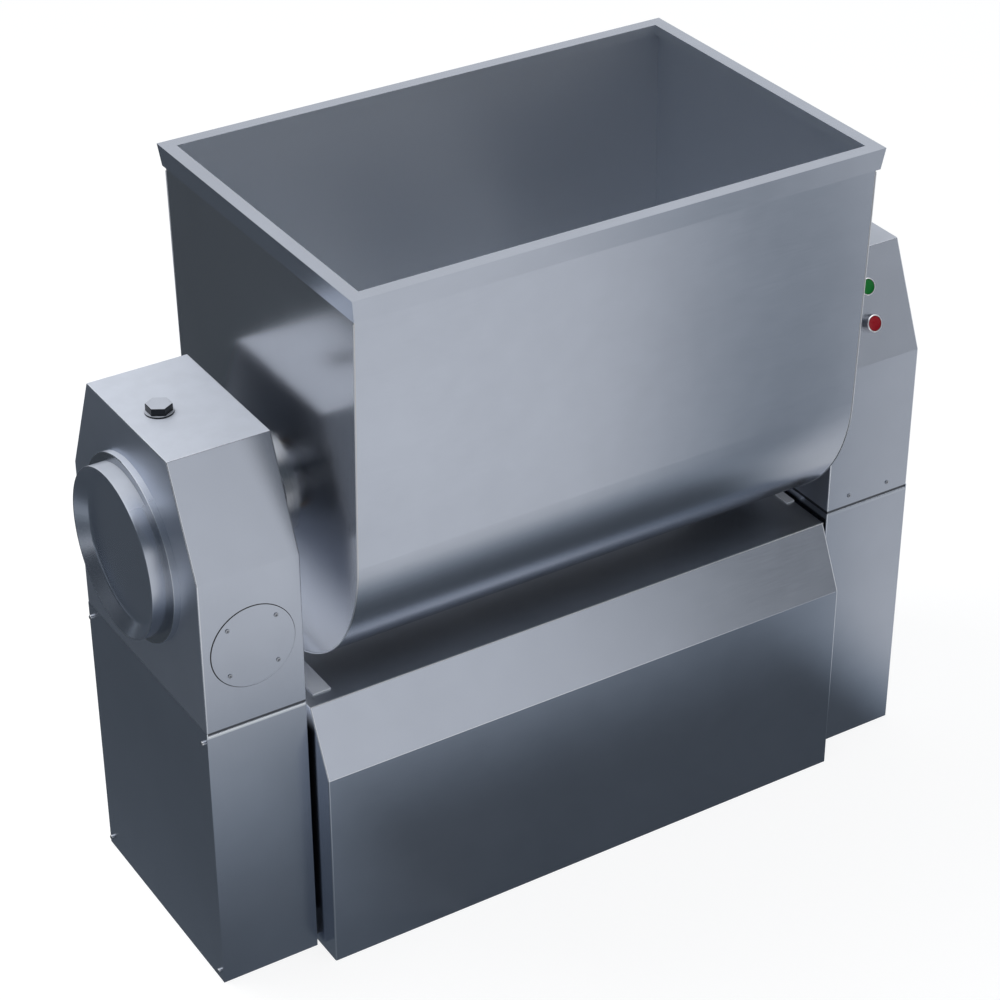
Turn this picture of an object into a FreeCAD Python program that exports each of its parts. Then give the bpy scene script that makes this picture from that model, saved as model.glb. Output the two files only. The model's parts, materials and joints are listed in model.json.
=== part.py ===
import FreeCAD, Part
import math
import os
import re

import Sketcher

# Twin-pillar meat mixer with a tilting tub.
# Millimetres, +Z up, +X to the right, the front faces -Y.
# The origin lies on the floor, midway between the two pillars.

doc = FreeCAD.newDocument("MeatMixer")
Vector = FreeCAD.Vector
Rotation = FreeCAD.Rotation

# Driving sizes, one value for each size that can be set by itself
SIZES = {
    # Tub, from which the rest of the machine is laid out
    "shaft_height": 868.0,
    "tub_forward": 31.5,
    "tub_length": 1022.0,
    "tub_radius": 310.0,
    "tub_wall": 3.0,
    "mouth_depth": 651.8,
    "mouth_rise": 497.5,
    "rim_end_overhang": 7.75,
    "rim_side_overhang": 11.1,
    "rim_band": 40.5,
    "rim_width": 25.4,
    "rim_taper": 5.0,
    "rim_sheet": 2.0,
    # Pillars and their sheet covers
    "pillar_gap": 48.5,
    "gearbox_side_gap": 8.08,
    "gearbox_top_gap": 29.0,
    "gearbox_floor": 50.43,
    "crown_setback": 83.5,
    "slope_height": 196.0,
    "deck_thickness": 6.0,
    "deck_lip": 40.0,
    "deck_lip_sheet": 3.0,
    "sheet": 2.0,
    "fold_radius": 2.5,
    "flange_width": 24.0,
    "panel_joint": 0.3,
    # Side frames, which carry the trunnions
    "frame_gap": 2.5,
    "frame_plate": 12.0,
    "frame_side_gap": 19.5,
    "frame_top_gap": 30.0,
    "foot_length": 150.0,
    "foot_width": 90.0,
    "anchor_radius": 7.0,
    "anchor_inset": 35.0,
    "anchor_reach": 84.0,
    "rail_height": 60.0,
    "rail_width": 40.0,
    "rail_wall": 3.0,
    "rail_setback": 43.0,
    # Base casing between the pillars
    "casing_gap": 6.5,
    "tub_floor_gap": 29.0,
    "crest_setback": 1.5,
    "crest_drop": 123.0,
    "apron_lean": 57.0,
    "floor_plate": 3.0,
    "strip_thickness": 3.0,
    "strip_left_width": 35.0,
    "strip_left_inset": 22.0,
    "strip_left_front": 203.5,
    "strip_right_width": 17.0,
    "strip_right_inset": 0.5,
    "strip_right_front": 143.0,
    "strip_rear": 150.0,
    "louvre_length": 180.0,
    "louvre_height": 8.0,
    "louvre_pitch": 26.0,
    "louvre_count": 6.0,
    # Trunnions and their bearings
    "trunnion_wall": 10.0,
    "trunnion_flange": 12.0,
    "trunnion_end_gap": 16.0,
    "bore_clearance": 3.0,
    "bolt_reach": 25.0,
    "bolt_land": 15.0,
    "trunnion_bolt_radius": 5.0,
    "bolt_head": 6.0,
    "bearing_wall": 15.0,
    "bearing_rim": 30.0,
    "bearing_lip": 8.0,
    "seal_wall": 15.0,
    "seal_thickness": 10.0,
    "bush_wall": 15.0,
    "bush_length": 28.0,
    "running_clearance": 0.05,
    "air_gap": 0.4,
    # Mixing shaft and paddles
    "shaft_radius": 30.0,
    "journal_step": 5.0,
    "gear_seat_step": 2.5,
    "paddle_count": 6.0,
    "paddle_pitch": 168.0,
    "paddle_angle": 45.0,
    "paddle_rest_angle": 45.0,
    "paddle_wall_gap": 11.0,
    "blade_height": 96.0,
    "blade_width": 150.0,
    "blade_thickness": 10.0,
    "blade_corner": 25.0,
    "blade_shoulder": 35.0,
    "arm_width": 44.0,
    "arm_thickness": 16.0,
    # Gear drive on the left
    "drive_drop": 68.0,
    "drive_setback": 31.5,
    "gearbox_gap": 22.0,
    "gearbox_wall": 12.0,
    "gearbox_cover": 8.0,
    "gearbox_margin": 14.0,
    "casting_radius": 6.0,
    "mid_plate": 10.0,
    "slow_module": 4.0,
    "slow_gear_teeth": 68.0,
    "slow_pinion_teeth": 17.0,
    "fast_module": 3.0,
    "fast_gear_teeth": 70.0,
    "fast_pinion_teeth": 20.0,
    "gear_backlash": 0.8,
    "slow_face": 38.0,
    "fast_face": 24.0,
    "gear_side_gap": 4.0,
    "slow_end_gap": 3.0,
    "fast_end_gap": 5.0,
    "inner_shaft_radius": 15.0,
    "shaft_bearing_wall": 14.0,
    # Belt stage and motor
    "pulley_gap": 3.0,
    "pulley_room": 6.0,
    "pulley_web": 14.0,
    "pulley_rim": 30.0,
    "shaft_tail": 14.0,
    "nut_height": 12.0,
    "groove_pitch": 15.0,
    "groove_edge": 10.0,
    "groove_slope": 0.34,
    "driven_pulley_radius": 125.0,
    "motor_pulley_radius": 62.5,
    "belt_width": 13.0,
    "belt_height": 10.0,
    "belt_gap": 0.4,
    "belt_room": 10.0,
    "motor_height": 250.0,
    "motor_radius": 96.0,
    "motor_fin": 9.0,
    "motor_fin_width": 6.0,
    "motor_fin_count": 26.0,
    "motor_body": 225.0,
    "motor_fan_length": 63.0,
    "motor_fan_edge": 12.0,
    "motor_shield": 24.0,
    "motor_nose": 35.0,
    "motor_shaft_radius": 14.0,
    "motor_shaft_depth": 58.0,
    "motor_mount_wall": 6.0,
    "motor_mount_gap": 8.0,
    "motor_foot": 12.0,
    "motor_foot_width": 182.0,
    "motor_foot_length": 135.0,
    "terminal_length": 90.0,
    "terminal_width": 100.0,
    "terminal_rise": 34.0,
    "doorway_side": 29.0,
    "doorway_head": 46.0,
    # Drive cover on the left pillar
    "cap_room": 28.5,
    "ring_land": 16.0,
    "cap_ring_thickness": 12.5,
    "cap_hole_inset": 14.0,
    "cap_depth": 31.5,
    "cap_lip": 3.0,
    "cap_dish": 20.0,
    "cap_dish_wall": 27.5,
    "cap_dish_blend": 14.0,
    "cap_edge": 1.0,
    "cap_sheet": 2.5,
    # Tilt drive on the right
    "tilt_module": 5.0,
    "tilt_gear_teeth": 56.0,
    "tilt_pinion_teeth": 14.0,
    "tilt_face": 30.0,
    "tilt_gear_gap": 18.0,
    "tilt_seat_step": 15.0,
    "tilt_hub_length": 12.0,
    "tilt_shaft_radius": 17.5,
    "tilt_shaft_depth": 60.0,
    "tilt_box_gap": 8.0,
    "tilt_box_clearance": 12.0,
    "tilt_box_depth": 160.0,
    "tilt_box_rise": 80.0,
    "tilt_motor_lip": 10.0,
    "tilt_motor_length": 236.0,
    "tilt_motor_fan": 24.0,
    # Inspection cover, filler plug and screws
    "inspection_foot": 67.0,
    "inspection_edge": 15.25,
    "inspection_gap": 1.5,
    "inspection_play": 0.9,
    "inspection_lap": 12.0,
    "inspection_screw_inset": 15.65,
    "plug_inset": 18.75,
    "plug_flats": 40.0,
    "plug_head": 13.0,
    "plug_chamfer": 1.5,
    "plug_thread_radius": 10.0,
    "plug_thread": 22.0,
    "neck_wall": 4.0,
    "washer_radius": 25.0,
    "washer_thickness": 3.0,
    "panel_screw_radius": 4.5,
    "panel_screw_head": 6.0,
    "panel_screw_edge": 13.0,
    "panel_screw_foot": 20.0,
    "cover_screw_radius": 4.0,
    "cover_screw_head": 1.5,
    "cover_screw_inset": 49.75,
    "cover_screw_height": 20.0,
    "screw_shank_radius": 2.5,
    # Push buttons
    "start_drop": 64.0,
    "stop_drop": 128.0,
    "button_radius": 14.0,
    "button_travel": 4.0,
    "button_edge": 0.8,
    "bezel_land": 2.1,
    "bezel_height": 13.0,
    "bezel_chamfer": 1.2,
    "barrel_radius": 11.0,
    "barrel_length": 26.0,
    "contact_block": 30.0,
    # Electrical box and gland
    "control_width": 120.0,
    "control_depth": 150.0,
    "control_height": 330.0,
    "control_floor": 100.0,
    "control_lid": 8.0,
    "control_corner": 6.0,
    "control_gap": 10.0,
    "gland_radius": 16.0,
    "gland_height": 90.0,
}

# Places worked out from the driving sizes
PLACES = {
    # Tub and its rim
    "shaft_y": "-tub_forward",
    "tub_end": "tub_length / 2",
    "tub_inner": "tub_radius - tub_wall",
    "neck_near": "tub_end + trunnion_flange",
    "rim_height": "shaft_height + mouth_rise + rim_sheet",
    "rim_length": "tub_length + 2 * rim_end_overhang",
    "rim_depth": "mouth_depth + 2 * rim_side_overhang",
    "blade_radius": "tub_inner - paddle_wall_gap",
    # Radii of the shaft, its seals and the trunnions, from the inside out
    "journal_radius": "shaft_radius - journal_step",
    "gear_seat_radius": "shaft_radius - gear_seat_step",
    "bush_radius": "journal_radius + bush_wall",
    "seal_radius": "shaft_radius + seal_wall",
    "trunnion_bore": "shaft_radius + bore_clearance",
    "trunnion_radius": "seal_radius + trunnion_wall",
    "tilt_seat_radius": "trunnion_radius - tilt_seat_step",
    "trunnion_bolt_circle": "trunnion_radius + bolt_reach",
    "trunnion_flange_radius": "trunnion_bolt_circle + bolt_land",
    # Drive stack along X, from the tub outwards
    "pillar_near": "tub_end + pillar_gap",
    "frame_near": "pillar_near + sheet + frame_gap",
    "frame_far": "frame_near + frame_plate",
    "box_near": "frame_far + gearbox_gap",
    "box_inside": "box_near + gearbox_wall",
    "slow_near": "box_inside + gear_side_gap",
    "mid_near": "slow_near + slow_face + slow_end_gap",
    "mid_far": "mid_near + mid_plate",
    "fast_near": "mid_far + gear_side_gap",
    "box_rim": "fast_near + fast_face + fast_end_gap",
    "box_far": "box_rim + gearbox_cover",
    "pulley_near": "box_far + pulley_gap",
    "pulley_width": "2 * groove_edge + groove_pitch",
    "pulley_far": "pulley_near + pulley_width",
    "pillar_far": "pulley_far + pulley_room",
    "pillar_width": "pillar_far - pillar_near",
    "pillar_mid": "pillar_far - pillar_width / 2",
    "trunnion_far": "box_near - trunnion_end_gap",
    # Shaft places in the gearbox, where both pairs of gears mesh
    "drive_y": "shaft_y + drive_setback",
    "drive_height": "shaft_height - drive_drop",
    "slow_gear_pitch": "slow_module * slow_gear_teeth / 2",
    "fast_gear_pitch": "fast_module * fast_gear_teeth / 2",
    "slow_centres": "slow_module * (slow_gear_teeth + slow_pinion_teeth) / 2",
    "fast_centres": "fast_module * (fast_gear_teeth + fast_pinion_teeth) / 2",
    "drive_offset": "sqrt(drive_setback * drive_setback + drive_drop * drive_drop)",
    "along": "(slow_centres * slow_centres - fast_centres * fast_centres + drive_offset * drive_offset)"
             " / (2 * drive_offset)",
    "across": "sqrt(slow_centres * slow_centres - along * along)",
    "idler_y": "shaft_y + (along * drive_setback - across * drive_drop) / drive_offset",
    "idler_z": "shaft_height - (along * drive_drop + across * drive_setback) / drive_offset",
    "box_front": "idler_y - fast_gear_pitch - fast_module - gearbox_margin",
    "box_back": "shaft_y + slow_gear_pitch + slow_module + gearbox_margin",
    "box_top": "shaft_height + slow_gear_pitch + slow_module + 0.5 * gearbox_margin",
    # Pillars round the gearbox
    "half_depth": "gearbox_side_gap - box_front",
    "pillar_depth": "2 * half_depth",
    "half_crown": "half_depth - crown_setback",
    "pillar_height": "box_top + gearbox_top_gap",
    "knee_height": "pillar_height - slope_height",
    "slope_run": "half_depth - half_crown",
    "slope_rise": "pillar_height - knee_height",
    "slope_length": "sqrt(slope_run * slope_run + slope_rise * slope_rise)",
    "deck_top": "idler_z - fast_gear_pitch - fast_module - gear_side_gap - gearbox_floor",
    "deck_height": "deck_top - deck_thickness",
    "inner_crown": "half_crown + sheet * (slope_run - slope_length) / slope_rise",
    "inner_knee": "knee_height - sheet * (slope_length - slope_rise) / slope_run",
    "frame_depth": "2 * (half_depth - frame_side_gap)",
    "frame_top": "pillar_height - frame_top_gap",
    "anchor_spacing": "frame_depth - 2 * anchor_inset",
    # Base casing
    "casing_end": "pillar_near - casing_gap",
    "casing_height": "shaft_height - tub_radius - tub_floor_gap",
    "crest_depth": "half_depth - crest_setback",
    "apron_depth": "crest_depth + apron_lean",
    "apron_height": "casing_height - crest_drop",
    "rail_spacing": "2 * (crest_depth - rail_setback)",
    # Motor under the gearbox
    "motor_near": "box_far - motor_shield - motor_body",
    "motor_seat": "motor_height - motor_radius - motor_mount_gap",
    "doorway_width": "2 * (motor_radius + doorway_side)",
    "doorway_height": "motor_height + motor_radius + doorway_head",
    # Cover over the big pulley
    "cap_radius": "driven_pulley_radius + cap_room",
    "cap_ring_radius": "cap_radius + ring_land",
    "cap_bore": "cap_radius - cap_hole_inset",
    "cap_foot": "pillar_far + cap_ring_thickness",
    "cap_face": "cap_foot + cap_depth",
    "cap_floor": "cap_face - cap_dish",
    # Tilt drive
    "tilt_y": "shaft_y",
    "tilt_centres": "tilt_module * (tilt_gear_teeth + tilt_pinion_teeth) / 2",
    "tilt_z": "shaft_height - tilt_centres",
    "tilt_near": "frame_far + bearing_lip + tilt_gear_gap",
    "tilt_far": "tilt_near + tilt_face",
    "tilt_box_near": "tilt_far + tilt_box_gap",
    "tilt_box_width": "pillar_far - sheet - tilt_box_clearance - tilt_box_near",
    "tilt_box_mid": "tilt_box_near + tilt_box_width / 2",
    "tilt_motor_radius": "tilt_box_width / 2 + tilt_motor_lip",
    # Small covers and controls
    "plug_x": "-(box_far - plug_inset)",
    "inspection_radius": "pillar_width / 2 - inspection_edge",
    "inspection_height": "deck_top + inspection_foot + inspection_radius",
    "inspection_screw_spacing": "sqrt(2) * (inspection_radius - inspection_screw_inset)",
    "cover_screw_spacing": "pillar_width - 2 * cover_screw_inset",
    "start_height": "pillar_height - start_drop",
    "stop_height": "pillar_height - stop_drop",
    "bezel_radius": "button_radius + air_gap + bezel_land",
}

sheet = doc.addObject("Spreadsheet::Sheet", "Sizes")
for row, (alias, number) in enumerate(SIZES.items(), start=1):
    sheet.set("A%d" % row, alias)
    sheet.set("B%d" % row, str(number))
    sheet.setAlias("B%d" % row, alias)
doc.recompute()

places = doc.addObject("App::VarSet", "Places")


def full(text):
    """Spell a formula out with the sheet's and the place list's names."""
    def owner(match):
        word = match.group(0)
        if word in SIZES:
            return "Sizes." + word
        if word in PLACES:
            return "Places." + word
        return word
    return re.sub(r"[a-z_]+", owner, text)


for place, formula in PLACES.items():
    places.addProperty("App::PropertyFloat", place)
for place, formula in PLACES.items():
    places.setExpression(place, full(formula))
doc.recompute()


def at(name):
    """The value of a driving size or of a place."""
    if name in SIZES:
        return float(sheet.get(name))
    return float(getattr(places, name))


# Building tools

AXIS_TURN = {
    "x": Rotation(Vector(0, 1, 0), 90),
    "y": Rotation(Vector(1, 0, 0), -90),
    "z": Rotation(),
}
pieces = []


def bind(thing, formulas):
    """Bind properties of an object to formulas."""
    for path, text in formulas.items():
        thing.setExpression(path, full(text))
    return thing


def keep(thing, label):
    """Record a finished sub-part under its own name."""
    thing.Label = label
    pieces.append(thing)
    return thing


def move(thing, x="0", y="0", z="0"):
    """Place an object by formulas, keeping its turn."""
    return bind(thing, {"Placement.Base.x": x, "Placement.Base.y": y, "Placement.Base.z": z})


def side_span(side, near, far):
    """Start and length along X of a span given by distances from the middle."""
    start = near if side > 0 else "-(%s)" % far
    return start, "(%s) - (%s)" % (far, near)


def box(name, x, y, z):
    """A block; x, y and z are pairs of start and length."""
    block = doc.addObject("Part::Box", name)
    bind(block, {"Length": x[1], "Width": y[1], "Height": z[1]})
    return move(block, x[0], y[0], z[0])


def rod(name, axis, centre, span, radius):
    """A cylinder along an axis; centre gives the two other coordinates."""
    bar = doc.addObject("Part::Cylinder", name)
    bar.Placement = FreeCAD.Placement(Vector(), AXIS_TURN[axis])
    bind(bar, {"Radius": radius, "Height": span[1]})
    base = list(centre)
    base.insert("xyz".index(axis), span[0])
    return move(bar, *base)


def hexagon(name, centre, span, corner):
    """A hexagonal bar along X; centre gives Y and Z."""
    bar = doc.addObject("Part::Prism", name)
    bar.Polygon = 6
    bar.Placement = FreeCAD.Placement(Vector(), AXIS_TURN["x"])
    bind(bar, {"Circumradius": corner, "Height": span[1]})
    return move(bar, span[0], centre[0], centre[1])


def cut(name, base, tools):
    """The base less the tools."""
    result = doc.addObject("Part::Cut", name)
    result.Base = base
    result.Tool = tools[0] if len(tools) == 1 else fuse(name + "_tools", tools)
    return result


def fuse(name, shapes):
    """Shapes joined into one solid."""
    result = doc.addObject("Part::MultiFuse", name)
    result.Shapes = shapes
    return result


def common(name, shapes):
    """What all the shapes share."""
    result = doc.addObject("Part::MultiCommon", name)
    result.Shapes = shapes
    return result


def group(name, shapes):
    """Separate solids of one kind in one node."""
    result = doc.addObject("Part::Compound", name)
    result.Links = shapes
    return result


def body_sketch(body, name, role, offset="0"):
    """A sketch on one of a body's own planes."""
    sketch = body.newObject("Sketcher::SketchObject", name)
    plane = [item for item in body.Origin.OriginFeatures if item.Role == role][0]
    sketch.AttachmentSupport = [(plane, "")]
    sketch.MapMode = "FlatFace"
    sketch.setExpression("AttachmentOffset.Base.z", full(offset))
    return sketch


def tie_point(sketch, edge, end, point):
    """Hold the end of a sketch edge at two formulas."""
    for kind, text in zip(("DistanceX", "DistanceY"), point):
        index = sketch.addConstraint(Sketcher.Constraint(kind, edge, end, 1.0))
        sketch.setExpression("Constraints[%d]" % index, full(text))


def outline(sketch, points):
    """A closed outline of straight edges through points given as formulas."""
    count = len(points)
    first = sketch.GeometryCount
    for i in range(count):
        turn = 2 * math.pi * i / count
        following = 2 * math.pi * (i + 1) / count
        start = Vector(100 * math.cos(turn), 100 * math.sin(turn), 0)
        end = Vector(100 * math.cos(following), 100 * math.sin(following), 0)
        sketch.addGeometry(Part.LineSegment(start, end))
    for i in range(count):
        sketch.addConstraint(Sketcher.Constraint("Coincident", first + i, 2, first + (i + 1) % count, 1))
    for i, point in enumerate(points):
        tie_point(sketch, first + i, 1, point)


def ring(sketch, centre, radius):
    """A circle held by formulas."""
    edge = sketch.addGeometry(Part.Circle(Vector(), Vector(0, 0, 1), 10.0))
    tie_point(sketch, edge, 3, centre)
    index = sketch.addConstraint(Sketcher.Constraint("Radius", edge, 10.0))
    sketch.setExpression("Constraints[%d]" % index, full(radius))


def pad(body, name, sketch, length):
    """Material added along the sketch's normal."""
    feature = body.newObject("PartDesign::Pad", name)
    feature.Profile = sketch
    return bind(feature, {"Length": length})


def spin(body, name, sketch):
    """A solid of revolution about the sketch's horizontal axis."""
    feature = body.newObject("PartDesign::Revolution", name)
    feature.Profile = sketch
    feature.ReferenceAxis = (sketch, ["H_Axis"])
    feature.Angle = 360.0
    return feature


def soften(body, name, base, radius, test):
    """A fillet on the edges that pass a test."""
    doc.recompute()
    edges = ["Edge%d" % (i + 1) for i, edge in enumerate(base.Shape.Edges) if test(edge)]
    feature = body.newObject("PartDesign::Fillet", name)
    feature.Base = (base, edges)
    return bind(feature, {"Radius": radius})


def turned(label, points, y, z):
    """A turned part on an axis along X; points are (x, radius) pairs."""
    body = doc.addObject("PartDesign::Body", label)
    sketch = body_sketch(body, label + "_profile", "XY_Plane")
    outline(sketch, points)
    spin(body, label + "_turning", sketch)
    return move(body, "0", y, z)


def stepped(side, steps):
    """The half outline of a stepped shaft from (near, far, radius) steps."""
    sign = "" if side > 0 else "-"
    points = [("%s(%s)" % (sign, steps[0][0]), "0")]
    for near, far, radius in steps:
        points.append(("%s(%s)" % (sign, near), radius))
        points.append(("%s(%s)" % (sign, far), radius))
    points.append(("%s(%s)" % (sign, steps[-1][1]), "0"))
    return points


def bored(side, steps, bore):
    """The half outline of a stepped part with a plain bore right through."""
    sign = "" if side > 0 else "-"
    points = [("%s(%s)" % (sign, steps[0][0]), bore)]
    for near, far, radius in steps:
        points.append(("%s(%s)" % (sign, near), radius))
        points.append(("%s(%s)" % (sign, far), radius))
    points.append(("%s(%s)" % (sign, steps[-1][1]), bore))
    return points


def gear_points(teeth, module, phase, backlash):
    """An involute spur gear's outline, one tooth centred on the phase angle."""
    pressure = math.radians(20.0)
    pitch = module * teeth / 2.0
    base = pitch * math.cos(pressure)
    root = pitch - 1.25 * module
    tip = pitch + module
    start = max(base, root)
    middle = 0.5 * (pitch + start)
    upper = 0.5 * (pitch + tip)
    half_pitch = math.pi / (2 * teeth) - backlash / (4 * pitch)

    def flank(radius):
        angle = math.acos(base / radius)
        at_pitch = math.tan(pressure) - pressure
        return half_pitch + at_pitch - (math.tan(angle) - angle)

    shape = [(root, flank(start)), (start, flank(start)), (middle, flank(middle)),
             (upper, flank(upper)), (tip, flank(tip))]
    points = []
    for tooth in range(teeth):
        centre = phase + 2 * math.pi * tooth / teeth
        for radius, half in shape:
            points.append((radius, centre - half))
        for radius, half in reversed(shape):
            points.append((radius, centre + half))
    return [Vector(0, r * math.cos(a), r * math.sin(a)) for r, a in points]


def gear_solid(teeth, module, phase, near, face):
    """A toothed wheel along X from its near side, before it is bored."""
    points = gear_points(teeth, module, phase, at("gear_backlash"))
    points.append(points[0])
    wheel = Part.Face(Part.makePolygon(points)).extrude(Vector(face, 0, 0))
    wheel.translate(Vector(near, 0, 0))
    return wheel


def bar_solid(start, length, radius):
    """A plain round bar along X on the local axis."""
    return Part.makeCylinder(radius, length, Vector(start, 0, 0), Vector(1, 0, 0))


def placed_shape(label, shape, y, z):
    """A shape made in code, placed on its axis."""
    feature = doc.addObject("Part::Feature", label)
    feature.Shape = shape
    feature.Placement = FreeCAD.Placement(Vector(0, y, z), Rotation())
    return keep(feature, label)


# Floor plate: it closes the base casing below and lies on the floor
def floor_plate():
    plate = box("floor_plate", ("-(casing_end - sheet)", "2 * (casing_end - sheet)"),
                ("-(apron_depth - sheet)", "apron_depth - sheet + crest_depth - 2 * sheet"),
                ("0", "floor_plate"))
    keep(plate, "floor_plate")


# Cross rails: box tubes that join the two side frames
def cross_rails():
    rails = []
    for name, sign in (("front", "-"), ("rear", "")):
        middle = "%s(rail_spacing / 2)" % sign
        tube = box("rail_%s_tube" % name, ("-frame_near", "2 * frame_near"),
                   (middle + " - rail_width / 2", "rail_width"), ("floor_plate", "rail_height"))
        hollow = box("rail_%s_hollow" % name, ("-frame_near", "2 * frame_near"),
                     (middle + " - rail_width / 2 + rail_wall", "rail_width - 2 * rail_wall"),
                     ("floor_plate + rail_wall", "rail_height - 2 * rail_wall"))
        rails.append(cut("cross_rail_" + name, tube, [hollow]))
    keep(group("cross_rails", rails), "cross_rails")


def rail_notches(name, side, near, far):
    """Cutters that let the rails pass through a sheet wall."""
    x = side_span(side, near, far)
    cutters = []
    for end, sign in (("front", "-"), ("rear", "")):
        middle = "%s(rail_spacing / 2)" % sign
        cutters.append(box("%s_notch_%s" % (name, end), x,
                           (middle + " - rail_width / 2 - air_gap", "rail_width + 2 * air_gap"),
                           ("-1", "floor_plate + rail_height + air_gap + 1")))
    return cutters


# Side frame: a thick plate that carries a trunnion bearing, with two feet
def side_frame(side_name, side):
    label = "side_frame_" + side_name
    start, length = side_span(side, "frame_near", "frame_far")
    body = doc.addObject("PartDesign::Body", label + "_plate")
    sketch = body_sketch(body, label + "_outline", "YZ_Plane", start)
    door = "doorway_width / 2"
    slope = "slope_run / slope_rise"
    crown = "half_crown - (half_depth - frame_depth / 2) + frame_top_gap * %s" % slope
    points = [("-frame_depth / 2", "0"), ("-" + door, "0"), ("-" + door, "doorway_height"),
              (door, "doorway_height"), (door, "0"), ("frame_depth / 2", "0"),
              ("frame_depth / 2", "knee_height"), (crown, "frame_top"),
              ("-(%s)" % crown, "frame_top"), ("-frame_depth / 2", "knee_height")]
    outline(sketch, points)
    pad(body, label + "_thickness", sketch, length)
    foot_span = side_span(side, "frame_far", "frame_far + foot_length")
    anchor_x = "%s(frame_far + anchor_reach)" % ("" if side > 0 else "-")
    feet = []
    holes = []
    for end, sign in (("front", "-"), ("rear", "")):
        middle = "%s(anchor_spacing / 2)" % sign
        feet.append(box("%s_foot_%s" % (label, end), foot_span,
                        (middle + " - foot_width / 2 + (frame_depth / 2 - anchor_spacing / 2"
                         " - foot_width / 2) * %s1" % sign, "foot_width"), ("0", "frame_plate")))
        holes.append(rod("%s_anchor_%s" % (label, end), "z", (anchor_x, middle),
                         ("-1", "frame_plate + 2"), "anchor_radius"))
    holes.append(rod(label + "_bore", "x", ("shaft_y", "shaft_height"),
                     side_span(side, "frame_near - 1", "frame_far + 1"),
                     "trunnion_radius + running_clearance + bearing_wall"))
    frame = fuse(label + "_welded", [body] + feet)
    keep(cut(label, frame, holes), label)


# Apron casing: one folded sheet, the sloping front and its two end walls
def apron_casing():
    def prism(name, inset, start, length):
        body = doc.addObject("PartDesign::Body", name)
        sketch = body_sketch(body, name + "_profile", "YZ_Plane", start)
        rear = "crest_depth - sheet - %s" % inset
        top = "casing_height - sheet - %s" % inset
        outline(sketch, [("-(apron_depth - %s)" % inset, "0"), (rear, "0"), (rear, top),
                         ("-(crest_depth - %s)" % inset, top),
                         ("-(apron_depth - %s)" % inset, "apron_height")])
        block = pad(body, name + "_length", sketch, length)
        return body, block
    outer, block = prism("casing_outer", "0", "-casing_end", "2 * casing_end")
    top = at("casing_height") - at("sheet")
    front = -at("crest_depth")
    soften(outer, "casing_folds", block, "fold_radius",
           lambda e: e.CenterOfMass.y < front + 1 and 1 < e.CenterOfMass.z < top - 1)
    inner, _ = prism("casing_inner", "sheet", "-casing_end + sheet", "2 * (casing_end - sheet)")
    notches = rail_notches("casing_left", -1, "casing_end - 10", "casing_end + 10")
    notches += rail_notches("casing_right", 1, "casing_end - 10", "casing_end + 10")
    motor = box("casing_motor_doorway", side_span(-1, "casing_end - 10", "casing_end + 10"),
                ("-doorway_width / 2", "doorway_width"), ("-1", "doorway_height + 1"))
    top_door = box("casing_top_door", ("-casing_end + flange_width", "2 * (casing_end - flange_width)"),
                   ("-crest_depth + flange_width", "2 * (crest_depth - flange_width)"),
                   ("casing_height - 4 * sheet", "6 * sheet"))
    rear_door = box("casing_rear_door", ("-casing_end + flange_width", "2 * (casing_end - flange_width)"),
                    ("crest_depth - 4 * sheet", "6 * sheet"),
                    ("-1", "casing_height - flange_width + 1"))
    screws = rear_panel_screw_rods("casing_screw_hole", "crest_depth - 3 * sheet", "4 * sheet",
                                   "screw_shank_radius")
    keep(cut("apron_casing", outer, [inner, motor, top_door, rear_door] + screws + notches), "apron_casing")


# Base top plate: a flat sheet with its upper edges rounded over
def base_top_plate():
    body = doc.addObject("PartDesign::Body", "base_top_plate")
    sketch = body_sketch(body, "top_plate_outline", "XY_Plane", "casing_height - sheet")
    outline(sketch, [("-casing_end", "-crest_depth"), ("casing_end", "-crest_depth"),
                     ("casing_end", "crest_depth"), ("-casing_end", "crest_depth")])
    plate = pad(body, "top_plate_sheet", sketch, "sheet")
    top = at("casing_height")
    soften(body, "top_plate_edge", plate, "0.7 * sheet", lambda e: e.CenterOfMass.z > top - 0.1)
    keep(body, "base_top_plate")


# Rear panel: a screwed sheet with a field of cooling slots behind the motor
def rear_panel_screw_rods(name, start, length, radius):
    """One rod at each of the six screws along the rear panel's two ends."""
    rods = []
    for sign in ("-", ""):
        for i in range(3):
            rods.append(rod("%s%s_%d" % (name, "_left" if sign else "_right", i), "y",
                            ("%s(casing_end - flange_width / 2)" % sign,
                             "casing_height * (0.15 + 0.35 * %d)" % i),
                            (start, length), radius))
    return rods


def base_rear_panel():
    panel = box("rear_panel_sheet", ("-casing_end", "2 * casing_end"),
                ("crest_depth - sheet", "sheet"), ("0", "casing_height - sheet"))
    slots = []
    for i in range(int(at("louvre_count"))):
        slots.append(box("rear_panel_slot_%d" % i, ("-casing_end / 2 - louvre_length / 2", "louvre_length"),
                         ("crest_depth - 2 * sheet", "4 * sheet"),
                         ("motor_height - louvre_pitch * (louvre_count / 2 - %d)" % i, "louvre_height")))
    slots += rear_panel_screw_rods("rear_panel_screw_hole", "crest_depth - 2 * sheet", "4 * sheet",
                                   "screw_shank_radius")
    keep(cut("base_rear_panel", panel, slots), "base_rear_panel")


# Rest strips: flat bars on the base top under the ends of the tub
def rest_strips():
    left = box("rest_strip_left", ("-casing_end + strip_left_inset", "strip_left_width"),
               ("-strip_left_front", "strip_left_front + strip_rear"),
               ("casing_height", "strip_thickness"))
    right = box("rest_strip_right",
                ("casing_end - strip_right_inset - strip_right_width", "strip_right_width"),
                ("-strip_right_front", "strip_right_front + strip_rear"),
                ("casing_height", "strip_thickness"))
    keep(group("rest_strips", [left, right]), "rest_strips")


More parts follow.
